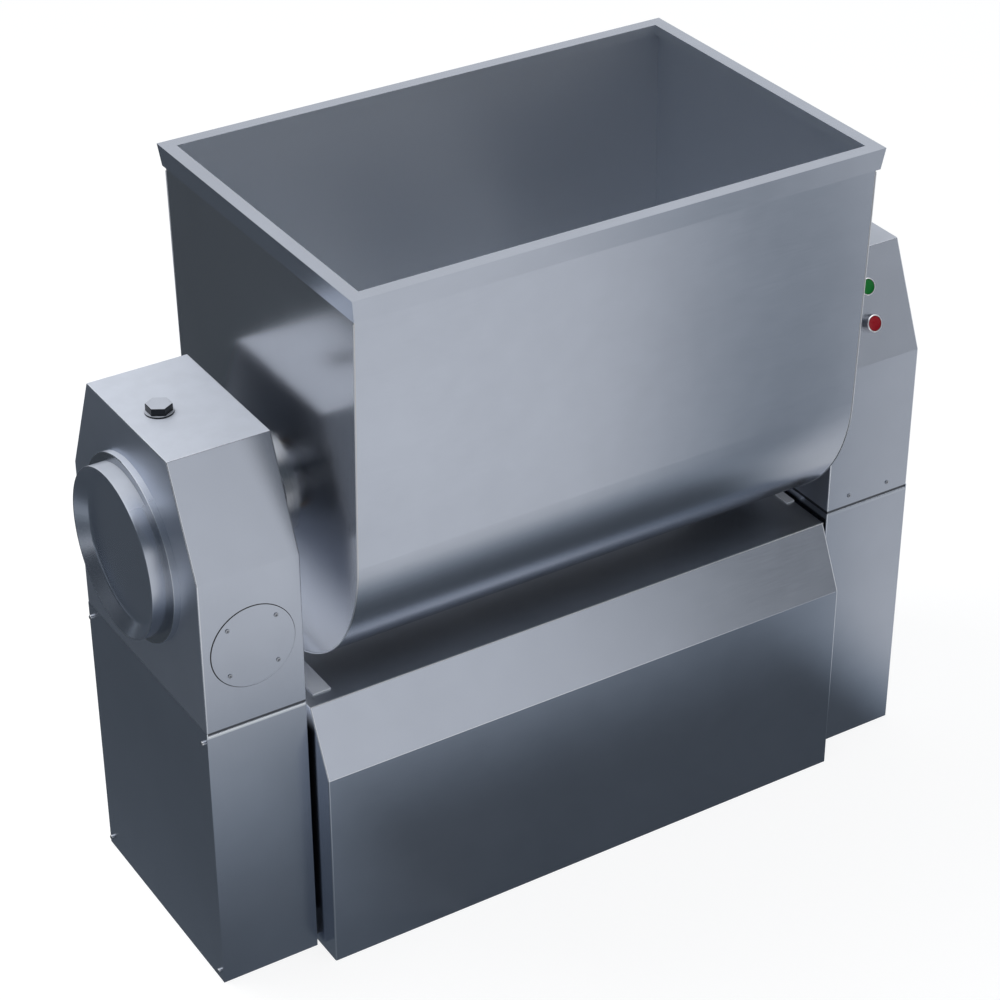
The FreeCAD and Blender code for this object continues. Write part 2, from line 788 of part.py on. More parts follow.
# Lower box: three folded walls and a top flange; the outer side is open
def lower_box(side_name, side):
    label = "lower_box_" + side_name
    wall = "sheet"
    outer = doc.addObject("PartDesign::Body", label + "_outer")
    start, length = side_span(side, "pillar_near", "pillar_far - sheet")
    sketch = body_sketch(outer, label + "_plan", "YZ_Plane", start)
    outline(sketch, [("-half_depth", "0"), ("half_depth", "0"),
                     ("half_depth", "deck_height"), ("-half_depth", "deck_height")])
    block = pad(outer, label + "_length", sketch, length)
    near_edge = at("half_depth")
    top = at("deck_height")
    inner_side = side * at("pillar_near")

    def folded(e):
        on_corner = abs(abs(e.CenterOfMass.y) - near_edge) < 1
        return on_corner and (abs(e.CenterOfMass.z - top) < 1 or abs(e.CenterOfMass.x - inner_side) < 1)

    soften(outer, label + "_fold", block, "fold_radius", folded)
    room = box(label + "_room", side_span(side, "pillar_near + sheet", "pillar_far - 2 * sheet"),
               ("-half_depth + " + wall, "pillar_depth - 2 * sheet"), ("-1", "deck_height - sheet + 1"))
    side_door = box(label + "_side_door",
                    side_span(side, "pillar_far - 3 * sheet", "pillar_far"),
                    ("-half_depth + flange_width", "pillar_depth - 2 * flange_width"),
                    ("-1", "deck_height - flange_width + 1"))
    top_door = box(label + "_top_door",
                   side_span(side, "pillar_near + flange_width", "pillar_far - flange_width"),
                   ("-half_depth + flange_width", "pillar_depth - 2 * flange_width"),
                   ("deck_height - 3 * sheet", "6 * sheet"))
    frame_slot = box(label + "_frame_slot",
                     side_span(side, "frame_near - air_gap", "frame_far + air_gap"),
                     ("-frame_depth / 2 - air_gap", "frame_depth + 2 * air_gap"),
                     ("deck_height - 3 * sheet", "6 * sheet"))
    cutters = [room, side_door, top_door, frame_slot]
    cutters += rail_notches(label, side, "pillar_near - 10", "pillar_near + 10")
    cutters += panel_screw_holes(label, side)
    if side < 0:
        cutters.append(box(label + "_motor_door", side_span(side, "pillar_near - 10", "pillar_near + 10"),
                           ("-doorway_width / 2", "doorway_width"), ("-1", "doorway_height + 1")))
        cutters.append(box(label + "_belt_slot", side_span(side, "box_far", "pillar_far - 3 * sheet"),
                           ("-driven_pulley_radius - belt_room", "2 * (driven_pulley_radius + belt_room)"),
                           ("deck_height - 3 * sheet", "6 * sheet")))
    else:
        cutters.append(rod(label + "_gland_hole", "y", ("pillar_mid", "gland_height"),
                           ("half_depth - 2 * sheet", "4 * sheet"), "0.75 * gland_radius"))
        cutters.append(rod(label + "_motor_slot", "z",
                           ("tilt_box_mid", "tilt_y"),
                           ("deck_height - 3 * sheet", "6 * sheet"), "tilt_motor_radius"))
    keep(cut(label, outer, cutters), label)


def panel_screw_spots():
    """The four corners of a side panel where its screws sit."""
    top = "deck_height - panel_screw_foot"
    return [("-half_depth + panel_screw_edge", top), ("half_depth - panel_screw_edge", top),
            ("half_depth - panel_screw_edge", "panel_screw_foot"),
            ("-half_depth + panel_screw_edge", "panel_screw_foot")]


def panel_screw_holes(label, side):
    """Holes for the side panel's screws."""
    span = side_span(side, "pillar_far - 4 * sheet", "pillar_far + 1")
    return [rod("%s_screw_hole_%d" % (label, i), "x", spot, span, "screw_shank_radius")
            for i, spot in enumerate(panel_screw_spots())]


# Side panel: the flat cover over the open outer side of a lower box, up to a hairline below the hood
def side_panel(side_name, side):
    label = "side_panel_" + side_name
    panel = box(label + "_sheet", side_span(side, "pillar_far - sheet", "pillar_far"),
                ("-half_depth", "pillar_depth"), ("0", "deck_top - panel_joint"))
    keep(cut(label, panel, panel_screw_holes(label, side)), label)


# Side panel screws: button heads that stand out at the panel's corners
def side_panel_screws():
    screws = []
    for side_name, side in (("left", -1), ("right", 1)):
        for i, spot in enumerate(panel_screw_spots()):
            name = "panel_screw_%s_%d" % (side_name, i)
            head = rod(name + "_head", "x", spot,
                       side_span(side, "pillar_far", "pillar_far + panel_screw_head"),
                       "panel_screw_radius")
            shank = rod(name + "_shank", "x", spot,
                        side_span(side, "pillar_far - 4 * sheet", "pillar_far"), "screw_shank_radius")
            screws.append(fuse(name, [head, shank]))
    keep(group("side_panel_screws", screws), "side_panel_screws")


# Deck plate: the recessed plate on a lower box that carries the drive above
def deck_plate(side_name, side):
    label = "deck_plate_" + side_name
    x = side_span(side, "pillar_near + sheet", "pillar_far - sheet")
    front = "-half_depth + sheet"
    plate = box(label + "_plate", x, (front, "pillar_depth - 2 * sheet"),
                ("deck_height", "deck_thickness"))
    lips = []
    for end, y in (("front", front), ("rear", "half_depth - sheet - deck_lip_sheet")):
        lips.append(box("%s_lip_%s" % (label, end), x, (y, "deck_lip_sheet"), ("deck_height", "deck_lip")))
    cutters = [box(label + "_frame_slot", side_span(side, "frame_near - air_gap", "frame_far + air_gap"),
                   ("-frame_depth / 2 - air_gap", "frame_depth + 2 * air_gap"),
                   ("deck_height - 1", "deck_thickness + 2"))]
    if side < 0:
        cutters.append(box(label + "_belt_slot", side_span(side, "box_far", "pillar_far - 3 * sheet"),
                           ("-driven_pulley_radius - belt_room", "2 * (driven_pulley_radius + belt_room)"),
                           ("deck_height - 1", "deck_thickness + 2")))
    else:
        cutters.append(rod(label + "_motor_hole", "z", ("tilt_box_mid", "tilt_y"),
                           ("deck_height - 1", "deck_thickness + 2"), "0.7 * tilt_motor_radius"))
    cutters += cover_screw_holes(label, side)
    keep(cut(label, fuse(label + "_folded", [plate] + lips), cutters), label)


def cover_screw_spots(side):
    """Middle lines of the screws along an upper cover's lower edge."""
    sign = "" if side > 0 else "-"
    return ["%spillar_mid - cover_screw_spacing / 2" % sign, "%spillar_mid + cover_screw_spacing / 2" % sign]


def cover_screw_holes(label, side):
    """Holes for those screws, front and rear."""
    holes = []
    for i, x in enumerate(cover_screw_spots(side)):
        for end, y in (("front", "-half_depth - 1"), ("rear", "half_depth - sheet - deck_lip_sheet - 1")):
            if side < 0 and end == "front":
                continue
            holes.append(rod("%s_cover_hole_%s_%d" % (label, end, i), "y",
                             (x, "deck_top + cover_screw_height"), (y, "sheet + deck_lip_sheet + 2"),
                             "screw_shank_radius"))
    return holes


# Upper cover: a folded sheet hood with sloping front and rear
def upper_cover(side_name, side):
    label = "upper_cover_" + side_name

    def hood(name, near, far, depth, knee, crown, top):
        body = doc.addObject("PartDesign::Body", name)
        start, length = side_span(side, near, far)
        sketch = body_sketch(body, name + "_profile", "YZ_Plane", start)
        outline(sketch, [("-(%s)" % depth, "deck_top"), (depth, "deck_top"), (depth, knee),
                         (crown, top), ("-(%s)" % crown, top), ("-(%s)" % depth, knee)])
        return body, pad(body, name + "_length", sketch, length)

    outer, block = hood(label + "_outer", "pillar_near", "pillar_far", "half_depth", "knee_height",
                        "half_crown", "pillar_height")
    foot = at("deck_top")
    soften(outer, label + "_folds", block, "fold_radius",
           lambda e: abs(e.CenterOfMass.z - foot) > 1)
    inner, _ = hood(label + "_inner", "pillar_near + sheet", "pillar_far - sheet", "half_depth - sheet",
                    "inner_knee", "inner_crown", "pillar_height - sheet")
    trunnion = rod(label + "_trunnion_hole", "x", ("shaft_y", "shaft_height"),
                   side_span(side, "pillar_near - 1", "pillar_near + sheet + 1"),
                   "trunnion_radius + bearing_wall / 2")
    cutters = [inner, trunnion] + cover_screw_holes(label, side)
    if side < 0:
        cutters += left_cover_holes(label)
    else:
        cutters += [button_rod(label + "_start_hole", "start_height", "-4 * sheet", "8 * sheet",
                               "barrel_radius"),
                    button_rod(label + "_stop_hole", "stop_height", "-4 * sheet", "8 * sheet",
                               "barrel_radius")]
    keep(cut(label, outer, cutters), label)


def left_cover_holes(label):
    """Holes of the left hood: drive cap, inspection cover and filler plug."""
    return [
        rod(label + "_cap_hole", "x", ("drive_y", "drive_height"),
            ("-pillar_far - 1", "sheet + 2"), "cap_bore"),
        rod(label + "_inspection_hole", "y", ("-pillar_mid", "inspection_height"),
            ("-half_depth - 1", "sheet + 2"), "inspection_radius"),
        rod(label + "_plug_hole", "z", ("plug_x", "0"),
            ("pillar_height - sheet - 1", "sheet + 2"), "plug_thread_radius"),
    ]


# Cover screws: the pan heads of both hoods, the inspection cover and the rear panel
def hood_screws():
    screws = []
    for side_name, side in (("left", -1), ("right", 1)):
        for i, x in enumerate(cover_screw_spots(side)):
            for end in ("front", "rear"):
                if side < 0 and end == "front":
                    continue
                name = "cover_screw_%s_%s_%d" % (side_name, end, i)
                spot = (x, "deck_top + cover_screw_height")
                shank_length = "sheet + deck_lip_sheet"
                if end == "front":
                    head_span = ("-half_depth - cover_screw_head", "cover_screw_head")
                    shank_span = ("-half_depth", shank_length)
                else:
                    head_span = ("half_depth", "cover_screw_head")
                    shank_span = ("half_depth - (%s)" % shank_length, shank_length)
                head = rod(name + "_head", "y", spot, head_span, "cover_screw_radius")
                shank = rod(name + "_shank", "y", spot, shank_span, "screw_shank_radius")
                screws.append(fuse(name, [head, shank]))
    return screws


def rear_panel_screws():
    heads = rear_panel_screw_rods("rear_screw_head", "crest_depth", "cover_screw_head", "cover_screw_radius")
    shanks = rear_panel_screw_rods("rear_screw_shank", "crest_depth - 2 * sheet", "2 * sheet",
                                   "screw_shank_radius")
    return [fuse("rear_screw_%d" % i, [head, shank]) for i, (head, shank) in enumerate(zip(heads, shanks))]


# Inspection cover: a round plate let into the front of the left hood, on a backing disc
def inspection_cover():
    centre = ("-pillar_mid + inspection_play", "inspection_height - inspection_play")
    plate = rod("inspection_plate", "y", centre, ("-half_depth", "sheet"),
                "inspection_radius - inspection_gap")
    backing = rod("inspection_backing", "y", ("-pillar_mid", "inspection_height"),
                  ("-half_depth + sheet", "sheet"), "inspection_radius + inspection_lap")
    holes = inspection_screw_rods("inspection_hole", "-half_depth - 1", "2 * sheet + 2",
                                  "screw_shank_radius")
    keep(cut("inspection_cover", fuse("inspection_disc", [plate, backing]), holes), "inspection_cover")


def inspection_screw_rods(name, start, length, radius):
    """One rod at each of the inspection cover's four screws."""
    rods = []
    half = "inspection_screw_spacing / 2"
    for i, (a, b) in enumerate((("-", "-"), ("-", "+"), ("+", "-"), ("+", "+"))):
        rods.append(rod("%s_%d" % (name, i), "y",
                        ("-pillar_mid %s %s" % (a, half), "inspection_height %s %s" % (b, half)),
                        (start, length), radius))
    return rods


def inspection_screws():
    heads = inspection_screw_rods("inspection_head", "-half_depth - cover_screw_head",
                                  "cover_screw_head", "cover_screw_radius")
    shanks = inspection_screw_rods("inspection_shank", "-half_depth", "2 * sheet", "screw_shank_radius")
    return [fuse("inspection_screw_%d" % i, [head, shank])
            for i, (head, shank) in enumerate(zip(heads, shanks))]


def cover_screws():
    keep(group("cover_screws", hood_screws() + inspection_screws() + rear_panel_screws()), "cover_screws")


# Filler plug: a hexagon plug and its round sealing washer on the left hood
def filler_plug():
    body = doc.addObject("PartDesign::Body", "filler_plug")
    sketch = body_sketch(body, "plug_hexagon", "XY_Plane", "washer_thickness")
    flats = "plug_flats / 2"
    corner = "plug_flats / sqrt(3)"
    outline(sketch, [(flats, "-%s / 2" % corner), (flats, "%s / 2" % corner), ("0", corner),
                     ("-" + flats, "%s / 2" % corner), ("-" + flats, "-%s / 2" % corner),
                     ("0", "-" + corner)])
    head = pad(body, "plug_head", sketch, "plug_head")
    crown = at("washer_thickness") + at("plug_head")
    soften(body, "plug_edge", head, "plug_chamfer", lambda e: e.CenterOfMass.z > crown - 0.1)
    shank = body_sketch(body, "plug_shank", "XY_Plane", "-plug_thread")
    ring(shank, ("0", "0"), "plug_thread_radius")
    pad(body, "plug_screw", shank, "plug_thread + washer_thickness")
    move(body, "plug_x", "0", "pillar_height")
    keep(body, "filler_plug")
    disc = rod("washer_disc", "z", ("plug_x", "0"), ("pillar_height", "washer_thickness"), "washer_radius")
    hole = rod("washer_hole", "z", ("plug_x", "0"), ("pillar_height - 1", "washer_thickness + 2"),
               "plug_thread_radius")
    keep(cut("filler_plug_washer", disc, [hole]), "filler_plug_washer")


# Drive cap: a spun cover with a dished face on a flat ring, over the big pulley's hub
def drive_cap():
    flat = doc.addObject("PartDesign::Body", "drive_cap_ring")
    sketch = body_sketch(flat, "cap_ring_profile", "XY_Plane")
    outline(sketch, bored(-1, [("pillar_far", "cap_foot", "cap_ring_radius")], "cap_bore"))
    spun = spin(flat, "cap_ring_turning", sketch)
    foot = -at("cap_foot")
    soften(flat, "cap_ring_edge", spun, "cap_edge",
           lambda e: abs(e.CenterOfMass.x - foot) < 0.1 and e.BoundBox.YMax > at("cap_radius"))
    keep(move(flat, "0", "drive_y", "drive_height"), "drive_cap_ring")
    points = [("-cap_foot", "cap_radius"), ("-cap_face", "cap_radius"),
              ("-cap_face", "cap_radius - cap_lip"), ("-cap_floor", "cap_radius - cap_dish_wall"),
              ("-cap_floor", "0"), ("-(cap_floor - cap_sheet)", "0"),
              ("-(cap_floor - cap_sheet)", "cap_radius - cap_sheet"), ("-cap_foot", "cap_radius - cap_sheet")]
    cap = doc.addObject("PartDesign::Body", "drive_cap")
    sketch = body_sketch(cap, "cap_profile", "XY_Plane")
    outline(sketch, points)
    spun = spin(cap, "cap_turning", sketch)
    floor = -at("cap_floor")
    blend = soften(cap, "cap_dish_corner", spun, "cap_dish_blend",
                   lambda e: abs(e.CenterOfMass.x - floor) < 0.1 and e.Length > 100)
    face = -at("cap_face")
    soften(cap, "cap_rim", blend, "cap_edge", lambda e: abs(e.CenterOfMass.x - face) < 0.1 and e.Length > 100)
    keep(move(cap, "0", "drive_y", "drive_height"), "drive_cap")


# Gearbox: a cast housing open on its outer side, a partition and a cover plate
GEARBOX_OUTLINE = [("box_front", "deck_top"), ("box_back", "deck_top"),
                   ("box_back", "shaft_height + slow_gear_pitch / 2"),
                   ("shaft_y + slow_gear_pitch / 2", "box_top"),
                   ("shaft_y - 0.85 * slow_gear_pitch", "box_top"),
                   ("box_front", "shaft_height - slow_gear_pitch / 4")]


def gearbox_prism(name, near, far, rounded=True):
    """The gearbox's outline as a solid slab between two distances from the middle."""
    body = doc.addObject("PartDesign::Body", name)
    start, length = side_span(-1, near, far)
    sketch = body_sketch(body, name + "_outline", "YZ_Plane", start)
    outline(sketch, GEARBOX_OUTLINE)
    slab = pad(body, name + "_thickness", sketch, length)
    if rounded:
        foot = at("deck_top")
        width = at("box_far") - at("box_near")
        soften(body, name + "_corners", slab, "casting_radius",
               lambda e: e.BoundBox.XLength > 1 and e.BoundBox.ZLength < 0.01 and e.Length < width + 1
               and e.CenterOfMass.z > foot + 1)
    return body


def gearbox_pocket(name, near, far):
    """The gearbox's inner room between two distances, following the gears."""
    span = side_span(-1, near, far)
    slow = rod(name + "_slow", "x", ("shaft_y", "shaft_height"), span,
               "slow_gear_pitch + slow_module + gear_side_gap")
    fast = rod(name + "_fast", "x", ("idler_y", "idler_z"), span,
               "fast_gear_pitch + fast_module + gear_side_gap")
    drive = rod(name + "_drive", "x", ("drive_y", "drive_height"), span,
                "fast_module * fast_pinion_teeth / 2 + fast_module + gear_side_gap")
    return [slow, fast, drive]


def bearing_seats(name, near, far, seats):
    """Bores for the shaft bearings; seats are (y, z, radius)."""
    return [rod("%s_seat_%d" % (name, i), "x", (y, z), side_span(-1, near, far), radius)
            for i, (y, z, radius) in enumerate(seats)]


MAIN_SEAT = ("shaft_y", "shaft_height", "gear_seat_radius + shaft_bearing_wall")
IDLER_SEAT = ("idler_y", "idler_z", "inner_shaft_radius + shaft_bearing_wall")
DRIVE_SEAT = ("drive_y", "drive_height", "inner_shaft_radius + shaft_bearing_wall")


def gearbox():
    shell = gearbox_prism("gearbox_block", "box_near", "box_rim")
    cutters = gearbox_pocket("gearbox_room", "box_inside", "box_rim + 1")
    cutters += bearing_seats("gearbox_wall", "box_near - 1", "box_inside + 1", [MAIN_SEAT, IDLER_SEAT])
    neck = rod("gearbox_neck", "z", ("plug_x", "0"), ("box_top", "pillar_height - sheet - box_top"),
               "plug_thread_radius + neck_wall")
    cutters.append(rod("gearbox_filler", "z", ("plug_x", "0"),
                       ("shaft_height", "pillar_height - shaft_height"), "plug_thread_radius - 3"))
    cutters.append(rod("gearbox_neck_thread", "z", ("plug_x", "0"),
                       ("pillar_height - plug_thread", "plug_thread"), "plug_thread_radius"))
    keep(cut("gearbox_housing", fuse("gearbox_casting", [shell, neck]), cutters), "gearbox_housing")
    lid = gearbox_prism("gearbox_lid", "box_rim", "box_far")
    seats = bearing_seats("gearbox_lid", "box_rim - 1", "box_far + 1", [MAIN_SEAT, IDLER_SEAT, DRIVE_SEAT])
    keep(cut("gearbox_cover", lid, seats), "gearbox_cover")
    plate = common("partition_blank", [gearbox_prism("partition_slab", "mid_near", "mid_far", False),
                                       fuse("partition_room",
                                            gearbox_pocket("partition", "mid_near - 1", "mid_far + 1"))])
    seats = bearing_seats("partition", "mid_near - 2", "mid_far + 2",
                          [("shaft_y", "shaft_height", "gear_seat_radius + 6"),
                           ("idler_y", "idler_z", "inner_shaft_radius + 30"), DRIVE_SEAT])
    keep(cut("gearbox_partition", plate, seats), "gearbox_partition")


# Gear shaft bearings: plain rings for the three shafts in the gearbox
def gear_shaft_bearings():
    rings = []
    clear = "running_clearance"
    seats = [("near_main", MAIN_SEAT, "gear_seat_radius", "box_near", "box_inside"),
             ("near_idler", IDLER_SEAT, "inner_shaft_radius", "box_near", "box_inside"),
             ("far_main", MAIN_SEAT, "gear_seat_radius", "box_rim", "box_far"),
             ("far_idler", IDLER_SEAT, "inner_shaft_radius", "box_rim", "box_far"),
             ("far_drive", DRIVE_SEAT, "inner_shaft_radius", "box_rim", "box_far"),
             ("mid_drive", DRIVE_SEAT, "inner_shaft_radius", "mid_near", "mid_far")]
    for name, seat, shaft, near, far in seats:
        span = side_span(-1, near, far)
        outer = rod("bearing_%s_ring" % name, "x", seat[:2], span, seat[2])
        hole = rod("bearing_%s_bore" % name, "x", seat[:2],
                   side_span(-1, near + " - 1", far + " + 1"), shaft + " + " + clear)
        rings.append(cut("bearing_" + name, outer, [hole]))
    keep(group("gear_shaft_bearings", rings), "gear_shaft_bearings")


# Gears and their shafts
def tooth_phases():
    """Angles that put a tooth of each wheel into a gap of the next."""
    to_idler = math.atan2(at("idler_z") - at("shaft_height"), at("idler_y") - at("shaft_y"))
    to_drive = math.atan2(at("drive_height") - at("idler_z"), at("drive_y") - at("idler_y"))
    slow_gap = to_idler + math.pi + math.pi / int(at("slow_pinion_teeth"))
    fast_gap = to_drive + math.pi + math.pi / int(at("fast_pinion_teeth"))
    tilt_gap = math.pi / 2 + math.pi / int(at("tilt_pinion_teeth"))
    return {"main": to_idler, "slow_pinion": slow_gap, "idler": to_drive,
            "fast_pinion": fast_gap, "tilt": -math.pi / 2, "tilt_pinion": tilt_gap}


def main_gear(phases):
    near = -(at("slow_near") + at("slow_face"))
    wheel = gear_solid(int(at("slow_gear_teeth")), at("slow_module"), phases["main"], near, at("slow_face"))
    web = (at("slow_gear_pitch") - 2.5 * at("slow_module"), 2 * at("gear_seat_radius"))
    recess = at("slow_face") / 3
    for start in (near, near + at("slow_face") - recess):
        hollow = bar_solid(start, recess, web[0]).cut(bar_solid(start, recess, web[1]))
        wheel = wheel.cut(hollow)
    wheel = wheel.cut(bar_solid(near - 1, at("slow_face") + 2, at("gear_seat_radius")))
    placed_shape("main_gear", wheel, at("shaft_y"), at("shaft_height"))


def idler_shaft(phases):
    slow_near = at("slow_near") + at("slow_face")
    pinion = gear_solid(int(at("slow_pinion_teeth")), at("slow_module"), phases["slow_pinion"],
                        -slow_near, at("slow_face"))
    long_bar = bar_solid(-at("box_far"), at("box_far") - at("box_near"), at("inner_shaft_radius"))
    placed_shape("idler_shaft", pinion.fuse(long_bar), at("idler_y"), at("idler_z"))
    near = -(at("fast_near") + at("fast_face"))
    wheel = gear_solid(int(at("fast_gear_teeth")), at("fast_module"), phases["idler"], near, at("fast_face"))
    recess = at("fast_face") / 3
    rim = at("fast_gear_pitch") - 3 * at("fast_module")
    for start in (near, near + at("fast_face") - recess):
        hollow = bar_solid(start, recess, rim).cut(bar_solid(start, recess, 2 * at("inner_shaft_radius")))
        wheel = wheel.cut(hollow)
    wheel = wheel.cut(bar_solid(near - 1, at("fast_face") + 2, at("inner_shaft_radius")))
    placed_shape("idler_gear", wheel, at("idler_y"), at("idler_z"))


def drive_shaft(phases):
    pinion = gear_solid(int(at("fast_pinion_teeth")), at("fast_module"), phases["fast_pinion"],
                        -(at("fast_near") + at("fast_face")), at("fast_face"))
    end = at("pulley_far") + at("shaft_tail")
    bar = bar_solid(-end, end - at("mid_near"), at("inner_shaft_radius"))
    placed_shape("drive_shaft", pinion.fuse(bar), at("drive_y"), at("drive_height"))


# Pulleys: two vee grooves each, turned from the solid
def pulley(label, radius, bore, z, hub):
    half_top = "belt_width / 2 + belt_gap"
    half_root = "belt_width / 2 - (belt_height + 2) * groove_slope + belt_gap"
    outer = "%s + belt_height / 3" % radius
    root = "%s - (belt_height * 2 / 3 + 2)" % radius
    points = [("-pulley_near", bore), ("-pulley_near", outer)]
    for groove in ("pulley_near + groove_edge", "pulley_near + groove_edge + groove_pitch"):
        points += [("-(%s - (%s))" % (groove, half_top), outer),
                   ("-(%s - (%s))" % (groove, half_root), root),
                   ("-(%s + (%s))" % (groove, half_root), root),
                   ("-(%s + (%s))" % (groove, half_top), outer)]
    points += [("-pulley_far", outer)]
    if hub:
        rim = "%s - pulley_rim" % radius
        points += [("-pulley_far", rim), ("-(pulley_near + pulley_web)", rim),
                   ("-(pulley_near + pulley_web)", "2.4 * " + bore), ("-pulley_far", "2.4 * " + bore)]
    points += [("-pulley_far", bore)]
    keep(turned(label, points, "drive_y", z), label)


def pulley_nut():
    blank = hexagon("pulley_nut_blank", ("drive_y", "drive_height"),
                    side_span(-1, "pulley_far", "pulley_far + nut_height"), "1.8 * inner_shaft_radius")
    hole = rod("pulley_nut_bore", "x", ("drive_y", "drive_height"),
               side_span(-1, "pulley_far - 1", "pulley_far + nut_height + 1"), "inner_shaft_radius")
    keep(cut("pulley_nut", blank, [hole]), "pulley_nut")


# V belts: closed loops of a tapering section round both pulleys
def belt_loop(offset):
    """One belt: two arcs of its section round the pulleys and two straight runs."""
    big = at("driven_pulley_radius")
    small = at("motor_pulley_radius")
    height = at("belt_height")
    top = Vector(0, at("drive_y"), at("drive_height"))
    low = Vector(0, at("drive_y"), at("motor_height"))
    lean = math.asin((small - big) / (top - low).Length)
    run = (top - low).Length * math.cos(lean)
    middle = -(at("pulley_near") + at("groove_edge") + offset)
    outer_half = at("belt_width") / 2
    inner_half = outer_half - at("groove_slope") * height
    outside = height / 3

    def section(radius):
        """The belt's section in the plane through an axis, on the rear side."""
        corners = [Vector(middle - outer_half, radius + outside, 0),
                   Vector(middle + outer_half, radius + outside, 0),
                   Vector(middle + inner_half, radius + outside - height, 0),
                   Vector(middle - inner_half, radius + outside - height, 0)]
        return Part.Face(Part.makePolygon(corners + corners[:1]))

    along_x = Vector(1, 0, 0)
    tilt = math.degrees(lean)
    over = section(big)
    over.rotate(Vector(), along_x, tilt)
    over = over.revolve(Vector(), along_x, 180 - 2 * tilt)
    over.translate(top)
    under = section(small)
    under.rotate(Vector(), along_x, tilt)
    under = under.revolve(Vector(), along_x, -(180 + 2 * tilt))
    under.translate(low)
    runs = []
    for mirrored in (False, True):
        straight = section(small)
        straight = straight.extrude(Vector(0, 0, run))
        straight.rotate(Vector(), along_x, tilt)
        if mirrored:
            straight = straight.mirror(Vector(), Vector(0, 1, 0))
        straight.translate(low)
        runs.append(straight)
    return over.fuse([under] + runs).removeSplitter()


def v_belts():
    loops = [belt_loop(0.0), belt_loop(at("groove_pitch"))]
    feature = doc.addObject("Part::Feature", "v_belts")
    feature.Shape = Part.makeCompound(loops)
    keep(feature, "v_belts")


# Main motor: turned frame, end shield and fan cover, with fins, feet and a terminal box
def main_motor():
    body = doc.addObject("PartDesign::Body", "main_motor_frame")
    core = "motor_radius - motor_fin"
    shield = "box_far - motor_shield"
    fan = "motor_near + motor_fan_length"
    bore = "motor_shaft_radius + running_clearance"
    bore_end = "box_far - motor_shield - motor_shaft_depth - 4"
    profile = body_sketch(body, "motor_profile", "XY_Plane")
    outline(profile, [("-(box_far + 1)", bore), ("-(box_far + 1)", "motor_nose"), ("-box_far", "motor_nose"),
                      ("-box_far", "motor_radius - 2"), ("-(%s)" % shield, "motor_radius - 2"),
                      ("-(%s)" % shield, core), ("-(%s)" % fan, core), ("-(%s)" % fan, "motor_radius - 1"),
                      ("-motor_near", "motor_radius - 1"), ("-motor_near", "0"), ("-(%s)" % bore_end, "0"),
                      ("-(%s)" % bore_end, bore)])
    frame = spin(body, "motor_turning", profile)
    fan_end = -at("motor_near")
    soften(body, "motor_fan_edge", frame, "motor_fan_edge",
           lambda e: abs(e.CenterOfMass.x - fan_end) < 0.1 and e.Length > 100)
    fin = body_sketch(body, "motor_fin_section", "YZ_Plane", "-(%s)" % shield)
    half = "motor_fin_width / 2"
    outline(fin, [("-" + half, "0.9 * (%s)" % core), (half, "0.9 * (%s)" % core),
                  (half + " * 0.6", "motor_radius"), ("-%s * 0.6" % half, "motor_radius")])
    first = pad(body, "motor_first_fin", fin, "(%s) - (%s)" % (shield, fan))
    doc.recompute()
    fins = body.newObject("PartDesign::PolarPattern", "motor_fins")
    fins.Originals = [first]
    fins.Axis = (fin, ["N_Axis"])
    fins.Angle = 360.0
    bind(fins, {"Occurrences": "motor_fin_count"})
    body.Tip = fins
    move(body, "0", "drive_y", "motor_height")
    terminal = box("motor_terminal_box", ("-(%s) + 30" % shield, "terminal_length"),
                   ("drive_y - terminal_width / 2", "terminal_width"),
                   ("motor_height + 0.8 * motor_radius", "0.2 * motor_radius + terminal_rise"))
    foot = box("motor_foot_plate", ("-(%s) + 12" % shield, "motor_foot_length"),
               ("drive_y - motor_foot_width / 2", "motor_foot_width"), ("motor_seat", "motor_foot"))
    web = box("motor_foot_web", ("-(%s) + 12" % shield, "motor_foot_length"),
              ("drive_y - 0.45 * motor_foot_width", "0.9 * motor_foot_width"),
              ("motor_seat", "motor_height - 0.7 * motor_radius - motor_seat"))
    keep(fuse("main_motor", [body, terminal, foot, web]), "main_motor")


def motor_mount():
    """An upturned channel on the floor plate, under the motor."""
    x = side_span(-1, "motor_near", "box_far - motor_shield")
    channel = box("motor_mount_block", x, ("drive_y - motor_radius", "2 * motor_radius"),
                  ("floor_plate", "motor_seat - floor_plate"))
    hollow = box("motor_mount_hollow", side_span(-1, "motor_near - 1", "box_far"),
                 ("drive_y - motor_radius + motor_mount_wall", "2 * (motor_radius - motor_mount_wall)"),
                 ("floor_plate - 1", "motor_seat - floor_plate - motor_mount_wall + 1"))
    keep(cut("motor_mount", channel, [hollow]), "motor_mount")


def motor_shaft():
    steps = [("box_far - motor_shield - motor_shaft_depth", "pulley_far", "motor_shaft_radius")]
    keep(turned("motor_shaft", stepped(-1, steps), "drive_y", "motor_height"), "motor_shaft")


# Tub shell: one sheet bent to a half round with walls that lean out to the mouth
def tub_shell():
    start, length = "-tub_end + tub_wall", "tub_length - 2 * tub_wall"
    keep(trough("tub_shell", "tub_radius", start, length, "tub_wall"), "tub_shell")


